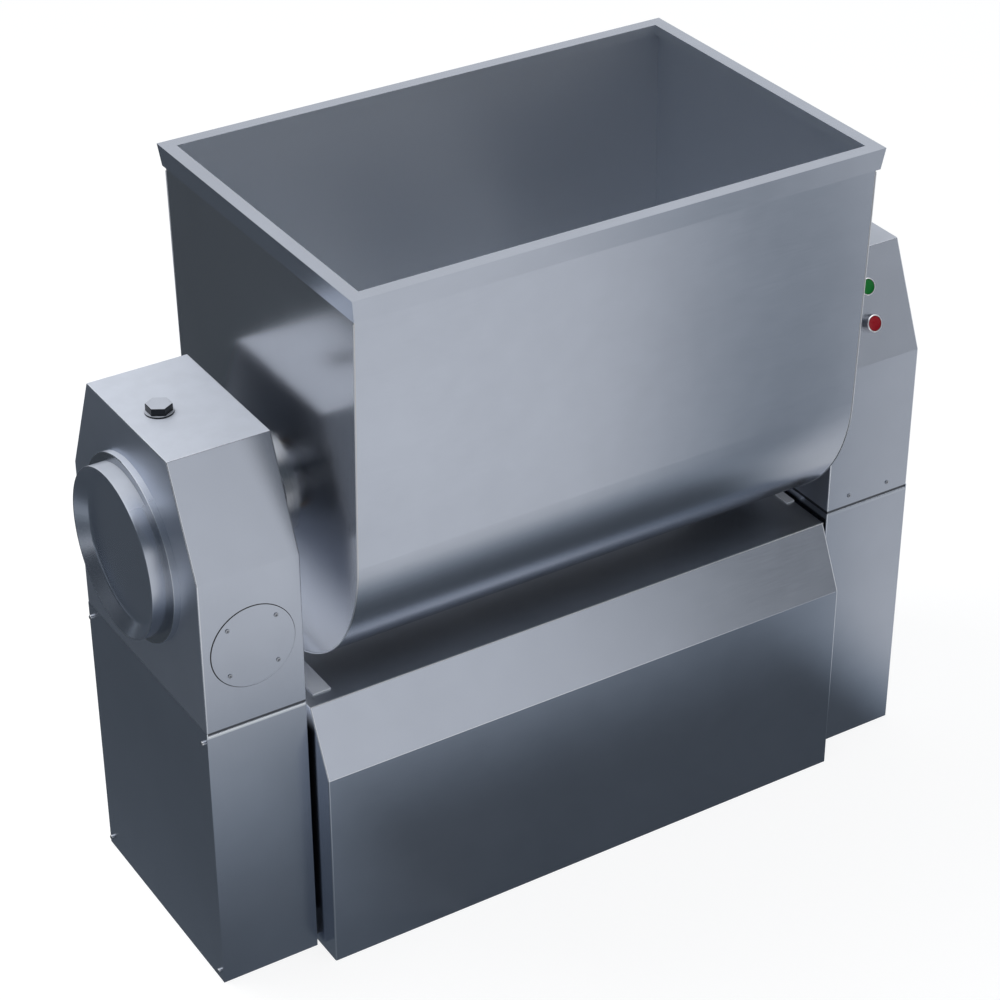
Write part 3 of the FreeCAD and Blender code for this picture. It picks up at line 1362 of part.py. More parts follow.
def trough_outline(sketch, radius, depth_change):
    """A U outline: a round bottom with tangent walls up to the mouth."""
    mouth = "mouth_depth / 2 - %s" % depth_change
    top = "mouth_rise"
    bend = at("tub_radius")
    side = at("mouth_depth") / 2
    rise = at("mouth_rise")
    edges = [Part.LineSegment(Vector(-side, rise, 0), Vector(-bend, 5, 0)),
             Part.ArcOfCircle(Part.Circle(Vector(), Vector(0, 0, 1), bend), math.pi, 2 * math.pi),
             Part.LineSegment(Vector(bend, 5, 0), Vector(side, rise, 0))]
    first = sketch.GeometryCount
    for edge in edges:
        sketch.addGeometry(edge)
    left, arc, right = first, first + 1, first + 2
    sketch.addConstraint(Sketcher.Constraint("Tangent", left, 2, arc, 1))
    sketch.addConstraint(Sketcher.Constraint("Tangent", arc, 2, right, 1))
    tie_point(sketch, arc, 3, ("0", "0"))
    index = sketch.addConstraint(Sketcher.Constraint("Radius", arc, bend))
    sketch.setExpression("Constraints[%d]" % index, full(radius))
    tie_point(sketch, left, 1, ("-(%s)" % mouth, top))
    tie_point(sketch, right, 2, (mouth, top))
    return left, right


def trough(name, radius, start, length, wall):
    """A bent U sheet of even thickness along X."""
    body = doc.addObject("PartDesign::Body", name)
    sketch = body_sketch(body, name + "_section", "YZ_Plane", start)
    outer = trough_outline(sketch, radius, "0")
    inner = trough_outline(sketch, "%s - %s" % (radius, wall), wall)
    for a, b, end in ((outer[0], inner[0], 1), (outer[1], inner[1], 2)):
        edge = sketch.addGeometry(Part.LineSegment(Vector(0, 1, 0), Vector(5, 1, 0)))
        sketch.addConstraint(Sketcher.Constraint("Coincident", edge, 1, a, end))
        sketch.addConstraint(Sketcher.Constraint("Coincident", edge, 2, b, end))
    pad(body, name + "_length", sketch, length)
    return move(body, "0", "shaft_y", "shaft_height")


# Tub end plates: flat U plates welded on the ends of the shell
def tub_end_plate(side_name, side):
    label = "tub_end_plate_" + side_name
    body = doc.addObject("PartDesign::Body", label + "_blank")
    start, length = side_span(side, "tub_end - tub_wall", "tub_end")
    sketch = body_sketch(body, label + "_section", "YZ_Plane", start)
    left, right = trough_outline(sketch, "tub_radius", "0")
    lid = sketch.addGeometry(Part.LineSegment(Vector(-1, 1, 0), Vector(1, 1, 0)))
    sketch.addConstraint(Sketcher.Constraint("Coincident", lid, 1, left, 1))
    sketch.addConstraint(Sketcher.Constraint("Coincident", lid, 2, right, 2))
    block = pad(body, label + "_thickness", sketch, length)
    far = side * at("tub_end")
    top = at("mouth_rise")
    soften(body, label + "_edge", block, "tub_wall * 0.7",
           lambda e: abs(e.CenterOfMass.x - far) < 0.1 and e.CenterOfMass.z < top - 1)
    move(body, "0", "shaft_y", "shaft_height")
    hole = rod(label + "_hole", "x", ("shaft_y", "shaft_height"),
               side_span(side, "tub_end - tub_wall - 1", "tub_end + 1"), "seal_radius - 3")
    bolts = trunnion_bolt_rods(label, side, "tub_end - tub_wall - 1", "tub_end + 1")
    keep(cut(label, body, [hole] + bolts), label)


def trunnion_bolt_spot(number):
    """Y and Z of one of the six bolts on the flange's circle."""
    angle = 60 * number + 30
    return ("shaft_y + trunnion_bolt_circle * cos(%d)" % angle,
            "shaft_height + trunnion_bolt_circle * sin(%d)" % angle)


def trunnion_bolt_rods(name, side, near, far):
    """Six rods on the trunnion flange's bolt circle."""
    return [rod("%s_bolt_%d" % (name, i), "x", trunnion_bolt_spot(i), side_span(side, near, far),
                "trunnion_bolt_radius") for i in range(6)]


# Tub rim: a folded capping channel round the mouth
def tub_rim():
    def frame(name, length, depth, low_length, low_depth, low, high):
        body = doc.addObject("PartDesign::Body", name)
        sections = []
        for level, (long_side, short_side) in ((low, (low_length, low_depth)), (high, (length, depth))):
            sketch = body_sketch(body, "%s_section_%d" % (name, len(sections)), "XY_Plane", level)
            half_x = "(%s) / 2" % long_side
            half_y = "(%s) / 2" % short_side
            outline(sketch, [("-" + half_x, "-" + half_y), (half_x, "-" + half_y),
                             (half_x, half_y), ("-" + half_x, half_y)])
            sections.append(sketch)
        loft = body.newObject("PartDesign::AdditiveLoft", name + "_loft")
        loft.Profile = sections[0]
        loft.Sections = [sections[1]]
        loft.Ruled = True
        return move(body, "0", "shaft_y", "0")
    low = "rim_height - rim_band"
    outer = frame("rim_outer", "rim_length", "rim_depth", "rim_length - 2 * rim_taper",
                  "rim_depth - 2 * rim_taper", low, "rim_height")
    channel = frame("rim_channel", "rim_length - 2 * rim_sheet", "rim_depth - 2 * rim_sheet",
                    "rim_length - 2 * (rim_taper + rim_sheet)", "rim_depth - 2 * (rim_taper + rim_sheet)",
                    low + " - 0.01", "rim_height - rim_sheet")
    mouth = box("rim_mouth", ("-rim_length / 2 + rim_width", "rim_length - 2 * rim_width"),
                ("shaft_y - rim_depth / 2 + rim_width", "rim_depth - 2 * rim_width"),
                (low + " - 1", "rim_band + 2"))
    lip = box("rim_lip",
              ("-rim_length / 2 + rim_width - rim_sheet", "rim_length - 2 * (rim_width - rim_sheet)"),
              ("shaft_y - rim_depth / 2 + rim_width - rim_sheet", "rim_depth - 2 * (rim_width - rim_sheet)"),
              (low + " + rim_band / 2", "rim_band / 2 - rim_sheet"))
    hollow = cut("rim_hollow", channel, [lip])
    keep(cut("tub_rim", outer, [hollow, mouth]), "tub_rim")


# Trunnions: flanged hollow neck on the left, blind journal with a gear seat on the right
def trunnions():
    left = turned("trunnion_left_turning",
                  [("-tub_end", "seal_radius"), ("-tub_end", "trunnion_flange_radius"),
                   ("-neck_near", "trunnion_flange_radius"), ("-neck_near", "trunnion_radius"),
                   ("-trunnion_far", "trunnion_radius"), ("-trunnion_far", "trunnion_bore"),
                   ("-neck_near", "trunnion_bore"), ("-neck_near", "seal_radius")],
                  "shaft_y", "shaft_height")
    bolts = trunnion_bolt_rods("trunnion_left", -1, "tub_end - 1", "neck_near + 1")
    keep(cut("trunnion_left", left, bolts), "trunnion_left")
    blind = "neck_near + bush_length + 4"
    seat = "tilt_near - 2"
    right = turned("trunnion_right_turning",
                   [("tub_end", "seal_radius"), ("tub_end", "trunnion_flange_radius"),
                    ("neck_near", "trunnion_flange_radius"), ("neck_near", "trunnion_radius"),
                    (seat, "trunnion_radius"), (seat, "tilt_seat_radius"),
                    ("tilt_far + 12", "tilt_seat_radius"), ("tilt_far + 12", "0"), (blind, "0"),
                    (blind, "bush_radius"), ("neck_near", "bush_radius"), ("neck_near", "seal_radius")],
                   "shaft_y", "shaft_height")
    bolts = trunnion_bolt_rods("trunnion_right", 1, "tub_end - 1", "neck_near + 1")
    keep(cut("trunnion_right", right, bolts), "trunnion_right")


# Trunnion bolts: six hexagon bolts through each flange and the tub's end
def trunnion_bolts():
    bolts = []
    for side_name, side in (("left", -1), ("right", 1)):
        name = "flange_bolt_" + side_name
        shanks = trunnion_bolt_rods(name + "_shank", side, "tub_end - tub_wall", "neck_near")
        for i, shank in enumerate(shanks):
            head = hexagon("%s_head_%d" % (name, i), trunnion_bolt_spot(i),
                           side_span(side, "neck_near", "neck_near + bolt_head"),
                           "1.8 * trunnion_bolt_radius")
            bolts.append(fuse("%s_%d" % (name, i), [shank, head]))
    keep(group("trunnion_bolts", bolts), "trunnion_bolts")


# Trunnion bearings: flanged bushes pressed into the side frames
def trunnion_bearings():
    outer = "trunnion_radius + running_clearance + bearing_wall"
    steps = [("frame_near", "frame_far", outer), ("frame_far", "frame_far + bearing_lip",
                                                   "trunnion_radius + bearing_rim")]
    bushes = []
    for side_name, side in (("left", -1), ("right", 1)):
        bushes.append(turned("trunnion_bearing_" + side_name,
                             bored(side, steps, "trunnion_radius + running_clearance"),
                             "shaft_y", "shaft_height"))
    keep(group("trunnion_bearings", bushes), "trunnion_bearings")


# Shaft seals and the bush at the shaft's right end
def shaft_seals():
    rings = []
    for side_name, side in (("left", -1), ("right", 1)):
        steps = [("neck_near - seal_thickness", "neck_near", "seal_radius")]
        rings.append(turned("shaft_seal_" + side_name,
                            bored(side, steps, "shaft_radius + running_clearance"),
                            "shaft_y", "shaft_height"))
    keep(group("shaft_seals", rings), "shaft_seals")


def shaft_end_bush():
    steps = [("neck_near", "neck_near + bush_length", "bush_radius")]
    keep(turned("shaft_end_bush", bored(1, steps, "journal_radius + running_clearance"),
                "shaft_y", "shaft_height"), "shaft_end_bush")


# Mixing shaft: a stepped bar from the gearbox through the tub to the right bush
def mixing_shaft():
    points = [("-box_far", "0"), ("-box_far", "gear_seat_radius"), ("-box_near + 4", "gear_seat_radius"),
              ("-box_near + 4", "shaft_radius"), ("neck_near", "shaft_radius"),
              ("neck_near", "journal_radius"), ("neck_near + bush_length", "journal_radius"),
              ("neck_near + bush_length", "0")]
    keep(turned("mixing_shaft", points, "shaft_y", "shaft_height"), "mixing_shaft")


# Mixing paddles: radial arms with pitched blades whose tips follow the tub's round
def mixing_paddles():
    count = int(at("paddle_count"))
    paddles = []
    for i in range(count):
        name = "mixing_paddle_%d" % (i + 1)
        hand = 1 if i % 2 == 0 else -1
        turn = Rotation(Vector(0, 0, 1), hand * at("paddle_angle"))
        arm = box(name + "_arm", ("-arm_width / 2", "arm_width"),
                  ("-arm_thickness / 2", "arm_thickness"),
                  ("0.8 * shaft_radius", "blade_radius - blade_height / 2 - 0.8 * shaft_radius"))
        blade = doc.addObject("PartDesign::Body", name + "_blade")
        sketch = body_sketch(blade, name + "_blade_outline", "XZ_Plane", "-blade_thickness / 2")
        foot = "blade_radius - blade_height"
        shoulder = foot + " + blade_shoulder"
        outline(sketch, [("-blade_width / 2 + blade_corner", foot), ("blade_width / 2 - blade_corner", foot),
                         ("blade_width / 2", shoulder), ("blade_width / 2", "blade_radius + 5"),
                         ("-blade_width / 2", "blade_radius + 5"), ("-blade_width / 2", shoulder)])
        pad(blade, name + "_blade_thickness", sketch, "blade_thickness")
        blade.Placement = FreeCAD.Placement(Vector(), turn)
        sweep = rod(name + "_sweep", "x", ("0", "0"), ("-blade_width", "2 * blade_width"), "blade_radius")
        shaft = rod(name + "_seat", "x", ("0", "0"), ("-blade_width", "2 * blade_width"), "shaft_radius")
        welded = fuse(name + "_welded", [arm, blade])
        trimmed = common(name + "_trimmed", [welded, sweep])
        paddle = cut(name, trimmed, [shaft])
        lean = at("paddle_rest_angle") + 180 * (i % 2)
        paddle.Placement = FreeCAD.Placement(Vector(), Rotation(Vector(1, 0, 0), lean))
        move(paddle, "paddle_pitch * (%d - (paddle_count - 1) / 2)" % i, "shaft_y", "shaft_height")
        paddles.append(paddle)
    keep(group("mixing_paddles", paddles), "mixing_paddles")


# Tilt drive: a toothed wheel on the right trunnion, its pinion and a geared motor
def tilt_drive(phases):
    near = at("tilt_near")
    face = at("tilt_face")
    pitch = at("tilt_module") * at("tilt_gear_teeth") / 2
    wheel = gear_solid(int(at("tilt_gear_teeth")), at("tilt_module"), phases["tilt"], near, face)
    for i in range(6):
        angle = math.radians(60 * i)
        middle = (pitch - 3 * at("tilt_module") + 1.6 * at("tilt_seat_radius")) / 2
        hole = bar_solid(near - 1, face + 2, 0.16 * pitch)
        hole.translate(Vector(0, middle * math.cos(angle), middle * math.sin(angle)))
        wheel = wheel.cut(hole)
    wheel = wheel.cut(bar_solid(near - 1, face + 2, at("tilt_seat_radius")))
    placed_shape("tilt_gear", wheel, at("shaft_y"), at("shaft_height"))
    pinion = gear_solid(int(at("tilt_pinion_teeth")), at("tilt_module"), phases["tilt_pinion"], near, face)
    stub = bar_solid(near, face + at("tilt_box_gap") + at("tilt_shaft_depth"), at("tilt_shaft_radius"))
    placed_shape("tilt_pinion", pinion.fuse(stub), at("tilt_y"), at("tilt_z"))


def tilt_gearbox():
    body = doc.addObject("PartDesign::Body", "tilt_gearbox_casting")
    sketch = body_sketch(body, "tilt_gearbox_side", "YZ_Plane", "tilt_box_near")
    half = "tilt_box_depth / 2"
    top = "tilt_z + tilt_box_rise"
    outline(sketch, [("tilt_y - " + half, "deck_top"), ("tilt_y + " + half, "deck_top"),
                     ("tilt_y + " + half, "tilt_z + tilt_box_rise / 2"), ("tilt_y + " + half + " / 2", top),
                     ("tilt_y - " + half + " / 2", top), ("tilt_y - " + half, "tilt_z + tilt_box_rise / 2")])
    block = pad(body, "tilt_gearbox_width", sketch, "tilt_box_width")
    foot = at("deck_top")
    soften(body, "tilt_gearbox_edges", block, "casting_radius", lambda e: e.CenterOfMass.z > foot + 1)
    bore = rod("tilt_gearbox_bore", "x", ("tilt_y", "tilt_z"), ("tilt_box_near - 1", "tilt_shaft_depth + 2"),
               "tilt_shaft_radius + running_clearance")
    keep(cut("tilt_gearbox", body, [bore]), "tilt_gearbox")
    centre = ("tilt_box_mid", "tilt_y")
    spigot = rod("tilt_motor_spigot", "z", centre, ("deck_height", "deck_thickness"),
                 "0.7 * tilt_motor_radius")
    flange = rod("tilt_motor_flange", "z", centre, ("deck_height - 10", "10"), "tilt_motor_radius")
    stator = rod("tilt_motor_stator", "z", centre,
                 ("deck_height - tilt_motor_length", "tilt_motor_length - 10"), "0.9 * tilt_motor_radius")
    fan = rod("tilt_motor_fan", "z", centre,
              ("deck_height - tilt_motor_length - tilt_motor_fan", "tilt_motor_fan"),
              "0.96 * tilt_motor_radius")
    keep(fuse("tilt_motor", [spigot, flange, stator, fan]), "tilt_motor")


# Push buttons: bezels with barrels through the hood's slope, caps that slide in them
def button_frame(shape, height, start):
    """Turn a rod made along Z onto the slope's normal at a height."""
    slope = math.degrees(math.atan2(at("slope_run"), at("slope_rise")))
    shape.Placement = FreeCAD.Placement(Vector(), Rotation(Vector(1, 0, 0), 90 - slope))
    cosine = "slope_rise / slope_length"
    sine = "slope_run / slope_length"
    surface = "-(half_depth - (%s - knee_height) * slope_run / slope_rise)" % height
    return move(shape, "pillar_mid", "%s - (%s) * %s" % (surface, start, cosine),
                "%s + (%s) * %s" % (height, start, sine))


def button_rod(name, height, start, length, radius):
    """A round bar on the slope's normal, from a start distance outside the sheet."""
    bar = doc.addObject("Part::Cylinder", name)
    bind(bar, {"Radius": radius, "Height": length})
    return button_frame(bar, height, start)


def button_turning(name, height, points):
    """A turned part on the slope's normal; points are (distance outside the sheet, radius)."""
    body = doc.addObject("PartDesign::Body", name)
    sketch = body_sketch(body, name + "_profile", "XY_Plane")
    outline(sketch, points)
    spin(body, name + "_turning", sketch)
    button_frame(body, height, "0")
    body.Placement.Rotation = body.Placement.Rotation * Rotation(Vector(0, 1, 0), -90)
    return body


def push_button(name, height):
    bezel = button_turning(name + "_bezel", height, [
        ("-barrel_length", "barrel_radius / 2 + air_gap"), ("-barrel_length", "barrel_radius"),
        ("0", "barrel_radius"), ("0", "bezel_radius"), ("bezel_height - bezel_chamfer", "bezel_radius"),
        ("bezel_height", "bezel_radius - bezel_chamfer"), ("bezel_height", "button_radius + air_gap"),
        ("2", "button_radius + air_gap"), ("2", "barrel_radius / 2 + air_gap")])
    front = "bezel_height - 0.5"
    keep(button_turning(name + "_button", height, [
        ("button_travel + 2 - barrel_length", "0"), ("button_travel + 2 - barrel_length", "barrel_radius / 2"),
        ("button_travel + 3", "barrel_radius / 2"), ("button_travel + 3", "button_radius"),
        (front + " - button_edge", "button_radius"), (front, "button_radius - button_edge"),
        (front, "0")]), name + "_button")
    return bezel


def contact_blocks():
    blocks = []
    for name, height in (("start", "start_height"), ("stop", "stop_height")):
        block = doc.addObject("Part::Box", name + "_contact_box")
        bind(block, {"Length": "contact_block", "Width": "contact_block", "Height": "contact_block / 2"})
        button_frame(block, height, "-barrel_length - contact_block / 2")
        cosine = "slope_rise / slope_length"
        sine = "slope_run / slope_length"
        start = "-barrel_length - contact_block / 2"
        surface = "-(half_depth - (%s - knee_height) * slope_run / slope_rise)" % height
        move(block, "pillar_mid - contact_block / 2",
             "%s - (%s) * %s - contact_block / 2 * %s" % (surface, start, cosine, sine),
             "%s + (%s) * %s - contact_block / 2 * %s" % (height, start, sine, cosine))
        blocks.append(block)
    keep(group("contact_blocks", blocks), "contact_blocks")


# Control box: the switchgear enclosure in the right pillar, and the cable gland
def control_box():
    rear = "half_depth - sheet - control_gap"
    body = doc.addObject("PartDesign::Body", "control_box_case")
    sketch = body_sketch(body, "control_box_plan", "XY_Plane", "control_floor")
    inner = "%s - control_depth" % rear
    outline(sketch, [("frame_far", inner), ("frame_far + control_width - control_lid", inner),
                     ("frame_far + control_width - control_lid", rear), ("frame_far", rear)])
    block = pad(body, "control_box_height", sketch, "control_height")
    far = at("frame_far") + at("control_width") - at("control_lid")
    soften(body, "control_box_corners", block, "control_corner",
           lambda e: abs(e.CenterOfMass.x - far) < 0.1 and e.BoundBox.ZLength > 10)
    lid = box("control_box_lid", ("frame_far + control_width - control_lid", "control_lid"),
              ("%s + 1.5 * control_corner" % inner, "control_depth - 3 * control_corner"),
              ("control_floor + control_corner", "control_height - 2 * control_corner"))
    keep(fuse("control_box_closed", [body, lid]), "control_box")
    centre = ("pillar_mid", "gland_height")
    neck = rod("gland_neck", "y", centre, ("half_depth - 4 * sheet", "4 * sheet + gland_radius / 2"),
               "0.75 * gland_radius")
    nut = doc.addObject("Part::Prism", "gland_nut")
    nut.Polygon = 6
    nut.Placement = FreeCAD.Placement(Vector(), AXIS_TURN["y"])
    bind(nut, {"Circumradius": "gland_radius", "Height": "gland_radius / 2"})
    move(nut, centre[0], "half_depth", centre[1])
    dome = doc.addObject("Part::Cone", "gland_dome")
    dome.Placement = FreeCAD.Placement(Vector(), AXIS_TURN["y"])
    bind(dome, {"Radius1": "0.8 * gland_radius", "Radius2": "0.55 * gland_radius",
                "Height": "gland_radius / 2"})
    move(dome, centre[0], "half_depth + gland_radius / 2", centre[1])
    hole = rod("gland_hole", "y", centre, ("half_depth - 5 * sheet", "5 * sheet + 2 * gland_radius"),
               "0.4 * gland_radius")
    keep(cut("cable_gland", fuse("gland_turning", [neck, nut, dome]), [hole]), "cable_gland")


def build():
    floor_plate()
    cross_rails()
    for side_name, side in (("left", -1), ("right", 1)):
        side_frame(side_name, side)
        lower_box(side_name, side)
        side_panel(side_name, side)
        deck_plate(side_name, side)
        upper_cover(side_name, side)
        tub_end_plate(side_name, side)
    apron_casing()
    base_top_plate()
    base_rear_panel()
    rest_strips()
    side_panel_screws()
    inspection_cover()
    cover_screws()
    filler_plug()
    drive_cap()
    gearbox()
    gear_shaft_bearings()
    phases = tooth_phases()
    main_gear(phases)
    idler_shaft(phases)
    drive_shaft(phases)
    pulley("driven_pulley", "driven_pulley_radius", "inner_shaft_radius", "drive_height", True)
    pulley("motor_pulley", "motor_pulley_radius", "motor_shaft_radius", "motor_height", False)
    pulley_nut()
    v_belts()
    motor_mount()
    main_motor()
    motor_shaft()
    tub_shell()
    tub_rim()
    trunnions()
    trunnion_bearings()
    trunnion_bolts()
    shaft_seals()
    shaft_end_bush()
    mixing_shaft()
    mixing_paddles()
    tilt_drive(phases)
    tilt_gearbox()
    bezels = [push_button("start", "start_height"), push_button("stop", "stop_height")]
    keep(group("button_bezels", bezels), "button_bezels")
    contact_blocks()
    control_box()


def check():
    """Stop if an object failed or a sub-part has no sound shape."""
    for thing in doc.Objects:
        if "Invalid" in thing.State or "Error" in thing.State:
            raise RuntimeError("object failed: %s %s" % (thing.Name, thing.State))
    for piece in pieces:
        if piece.Shape.isNull() or not piece.Shape.isValid() or not piece.Shape.Solids:
            raise RuntimeError("sub-part has no sound shape: " + piece.Label)


def export():
    os.makedirs("parts", exist_ok=True)
    for piece in pieces:
        piece.Shape.exportStep(os.path.join("parts", piece.Label + ".step"))


build()
doc.recompute()
check()
export()
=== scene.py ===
import json
import math

import bpy
from mathutils import Matrix, Vector


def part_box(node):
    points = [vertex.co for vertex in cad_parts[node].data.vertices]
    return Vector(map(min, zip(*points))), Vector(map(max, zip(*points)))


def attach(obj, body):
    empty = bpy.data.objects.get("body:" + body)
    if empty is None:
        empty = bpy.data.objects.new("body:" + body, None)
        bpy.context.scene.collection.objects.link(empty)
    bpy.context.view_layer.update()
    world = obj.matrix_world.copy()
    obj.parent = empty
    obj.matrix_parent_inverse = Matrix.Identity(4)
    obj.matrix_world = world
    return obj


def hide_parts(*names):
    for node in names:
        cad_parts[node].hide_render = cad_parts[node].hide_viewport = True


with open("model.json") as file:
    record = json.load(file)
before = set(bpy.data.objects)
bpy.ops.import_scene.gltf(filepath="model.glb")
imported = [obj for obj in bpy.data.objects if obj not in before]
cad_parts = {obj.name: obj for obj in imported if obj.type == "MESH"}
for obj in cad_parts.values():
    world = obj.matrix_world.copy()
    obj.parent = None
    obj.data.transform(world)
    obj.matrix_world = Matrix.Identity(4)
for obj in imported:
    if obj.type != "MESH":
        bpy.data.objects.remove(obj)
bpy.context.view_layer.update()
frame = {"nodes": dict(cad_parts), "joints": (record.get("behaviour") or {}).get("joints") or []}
nodes = frame["nodes"]
bpy.ops.object.select_all(action="DESELECT")


# Lower boxes and side panels.
# Folded 2 mm stainless sheet, ground to a fine even satin and wiped clean, with the flat
# outer panels screwed on. The sheet mirrors the room softly.

def new_group(name, inputs, outputs):
    """A shader node group with named sockets, ready to be filled."""
    group = bpy.data.node_groups.new(name, "ShaderNodeTree")
    for socket_name, kind, value in inputs:
        socket = group.interface.new_socket(socket_name, in_out="INPUT", socket_type=kind)
        socket.default_value = value
    for socket_name, kind in outputs:
        group.interface.new_socket(socket_name, in_out="OUTPUT", socket_type=kind)
    return group, group.nodes.new("NodeGroupInput"), group.nodes.new("NodeGroupOutput")


def noise(tree, vector, scale, detail, roughness=0.5):
    """A noise texture fed with a vector socket."""
    texture = tree.nodes.new("ShaderNodeTexNoise")
    texture.inputs["Scale"].default_value = scale
    texture.inputs["Detail"].default_value = detail
    texture.inputs["Roughness"].default_value = roughness
    tree.links.new(vector, texture.inputs["Vector"])
    return texture.outputs["Fac"]


def combine(tree, operation, first, second=0.0):
    """Two values joined by a math node; each is a number or a socket."""
    node = tree.nodes.new("ShaderNodeMath")
    node.operation = operation
    for i, item in enumerate((first, second)):
        if isinstance(item, float):
            node.inputs[i].default_value = item
        else:
            tree.links.new(item, node.inputs[i])
    return node.outputs["Value"]


def total(tree, first, second):
    """Two values added."""
    return combine(tree, "ADD", first, second)


def product(tree, first, second):
    """Two values multiplied."""
    return combine(tree, "MULTIPLY", first, second)


def ramp(tree, value, start, end, low=0.0, high=1.0):
    """A smooth change of a value between two places."""
    ranger = tree.nodes.new("ShaderNodeMapRange")
    ranger.interpolation_type = "SMOOTHSTEP"
    ranger.inputs["From Min"].default_value = start
    ranger.inputs["From Max"].default_value = end
    ranger.inputs["To Min"].default_value = low
    ranger.inputs["To Max"].default_value = high
    tree.links.new(value, ranger.inputs["Value"])
    return ranger.outputs["Result"]


def along(tree, vector, axis):
    """The X, Y or Z of a vector socket."""
    split = tree.nodes.new("ShaderNodeSeparateXYZ")
    tree.links.new(vector, split.inputs["Vector"])
    return split.outputs[axis]


def on_piece(tree, reading):
    """A point's place on its piece ("Object"), or the way its surface faces ("Normal")."""
    return tree.nodes.new("ShaderNodeTexCoord").outputs[reading]


def blend_colours(tree, kind, factor, first, second):
    """Two colours mixed; each is a colour or a socket, and so is the factor."""
    mixer = tree.nodes.new("ShaderNodeMix")
    mixer.data_type = "RGBA"
    mixer.blend_type = kind
    for socket, item in (("Factor", factor), ("A", first), ("B", second)):
        if isinstance(item, (float, tuple)):
            mixer.inputs[socket].default_value = item
        else:
            tree.links.new(item, mixer.inputs[socket])
    return mixer.outputs["Result"]


def tinted(tree, colour, tone):
    """A colour made lighter or darker by a value round one."""
    grey = tree.nodes.new("ShaderNodeCombineColor")
    for channel in ("Red", "Green", "Blue"):
        tree.links.new(tone, grey.inputs[channel])
    return blend_colours(tree, "MULTIPLY", 1.0, colour, grey.outputs["Color"])


cloud_share = 0.65
line_gloss = 0.04
line_tone = 0.05


def make_satin_group():
    """Ground metal: fine lines along one way, faint clouds of tone and gloss, and a few wiped smears."""
    group, given, result = new_group(
        "satin_grinding",
        [("Vector", "NodeSocketVector", (0.0, 0.0, 0.0)), ("Colour", "NodeSocketColor", (0.5, 0.5, 0.5, 1.0)),
         ("Roughness", "NodeSocketFloat", 0.3), ("Clouding", "NodeSocketFloat", 0.05),
         ("Line Stretch", "NodeSocketVector", (1.0, 1.0, 1.0))],
        [("Colour", "NodeSocketColor"), ("Roughness", "NodeSocketFloat"), ("Height", "NodeSocketFloat")])
    stretch = group.nodes.new("ShaderNodeVectorMath")
    stretch.operation = "MULTIPLY"
    group.links.new(given.outputs["Vector"], stretch.inputs[0])
    group.links.new(given.outputs["Line Stretch"], stretch.inputs[1])
    lines = noise(group, stretch.outputs["Vector"], scale=520.0, detail=3.0)
    clouds = noise(group, given.outputs["Vector"], scale=3.5, detail=3.0, roughness=0.55)
    smears = noise(group, given.outputs["Vector"], scale=17.0, detail=4.0, roughness=0.6)
    mottle = total(group, product(group, clouds, cloud_share), product(group, smears, 1.0 - cloud_share))
    uneven = combine(group, "SUBTRACT", mottle, 0.5)
    lined = combine(group, "SUBTRACT", lines, 0.5)
    finish = total(group, product(group, uneven, given.outputs["Clouding"]),
                   product(group, lined, line_gloss))
    group.links.new(total(group, given.outputs["Roughness"], finish), result.inputs["Roughness"])
    tone = total(group, ramp(group, mottle, start=0.25, end=0.75, low=0.955, high=1.035),
                 product(group, lined, line_tone))
    group.links.new(tinted(group, given.outputs["Colour"], tone), result.inputs["Colour"])
    group.links.new(lines, result.inputs["Height"])
    return group


satin_group = make_satin_group()


def satin_steel(name, colour, roughness, clouding, line_stretch, line_depth=0.00001):
    """A ground stainless steel with its lines along the way that is stretched least."""
    material = bpy.data.materials.new(name)
    material.use_nodes = True
    tree = material.node_tree
    shader = tree.nodes["Principled BSDF"]
    shader.inputs["Metallic"].default_value = 1.0
    finish = tree.nodes.new("ShaderNodeGroup")
    finish.node_tree = satin_group
    finish.inputs["Colour"].default_value = (*colour, 1.0)
    finish.inputs["Roughness"].default_value = roughness
    finish.inputs["Clouding"].default_value = clouding
    finish.inputs["Line Stretch"].default_value = line_stretch
    tree.links.new(on_piece(tree, "Object"), finish.inputs["Vector"])
    tree.links.new(finish.outputs["Colour"], shader.inputs["Base Color"])
    tree.links.new(finish.outputs["Roughness"], shader.inputs["Roughness"])
    bump = tree.nodes.new("ShaderNodeBump")
    bump.inputs["Strength"].default_value = 0.2
    bump.inputs["Distance"].default_value = line_depth
    tree.links.new(finish.outputs["Height"], bump.inputs["Height"])
    tree.links.new(bump.outputs["Normal"], shader.inputs["Normal"])
    return material


def repaint(material, mask, colour):
    """Lay a colour over a material's own as far as a mask says."""
    tree = material.node_tree
    base = tree.nodes["Principled BSDF"].inputs["Base Color"]
    tree.links.new(blend_colours(tree, "MIX", mask, base.links[0].from_socket, colour), base)


def make_fold_highlight_group():
    """Masks for the highlights painted on folds: a sheet's rounded corners and crowns, and the foot of a
    slope.
    """
    group, given, result = new_group("folds", [("Normal", "NodeSocketVector", (0.0, 0.0, 0.0))],
                                     [("Corners", "NodeSocketFloat"), ("Slope Foot", "NodeSocketFloat")])
    size = group.nodes.new("ShaderNodeVectorMath")
    size.operation = "ABSOLUTE"
    group.links.new(given.outputs["Normal"], size.inputs[0])
    sideways = along(group, size.outputs["Vector"], "X")
    upward = along(group, size.outputs["Vector"], "Z")
    corner = product(group, ramp(group, sideways, start=0.03, end=0.10),
                     ramp(group, sideways, start=0.98, end=0.93))
    crown = product(group, ramp(group, upward, start=0.46, end=0.52),
                    ramp(group, upward, start=0.98, end=0.93))
    group.links.new(combine(group, "MAXIMUM", corner, crown), result.inputs["Corners"])
    foot = product(group, ramp(group, upward, start=0.03, end=0.08),
                   ramp(group, upward, start=0.38, end=0.34))
    group.links.new(foot, result.inputs["Slope Foot"])
    return group


fold_highlight_group = make_fold_highlight_group()
# Tone of the highlight painted on folds.
fold_highlight_tone = (0.78, 0.81, 0.88, 1.0)


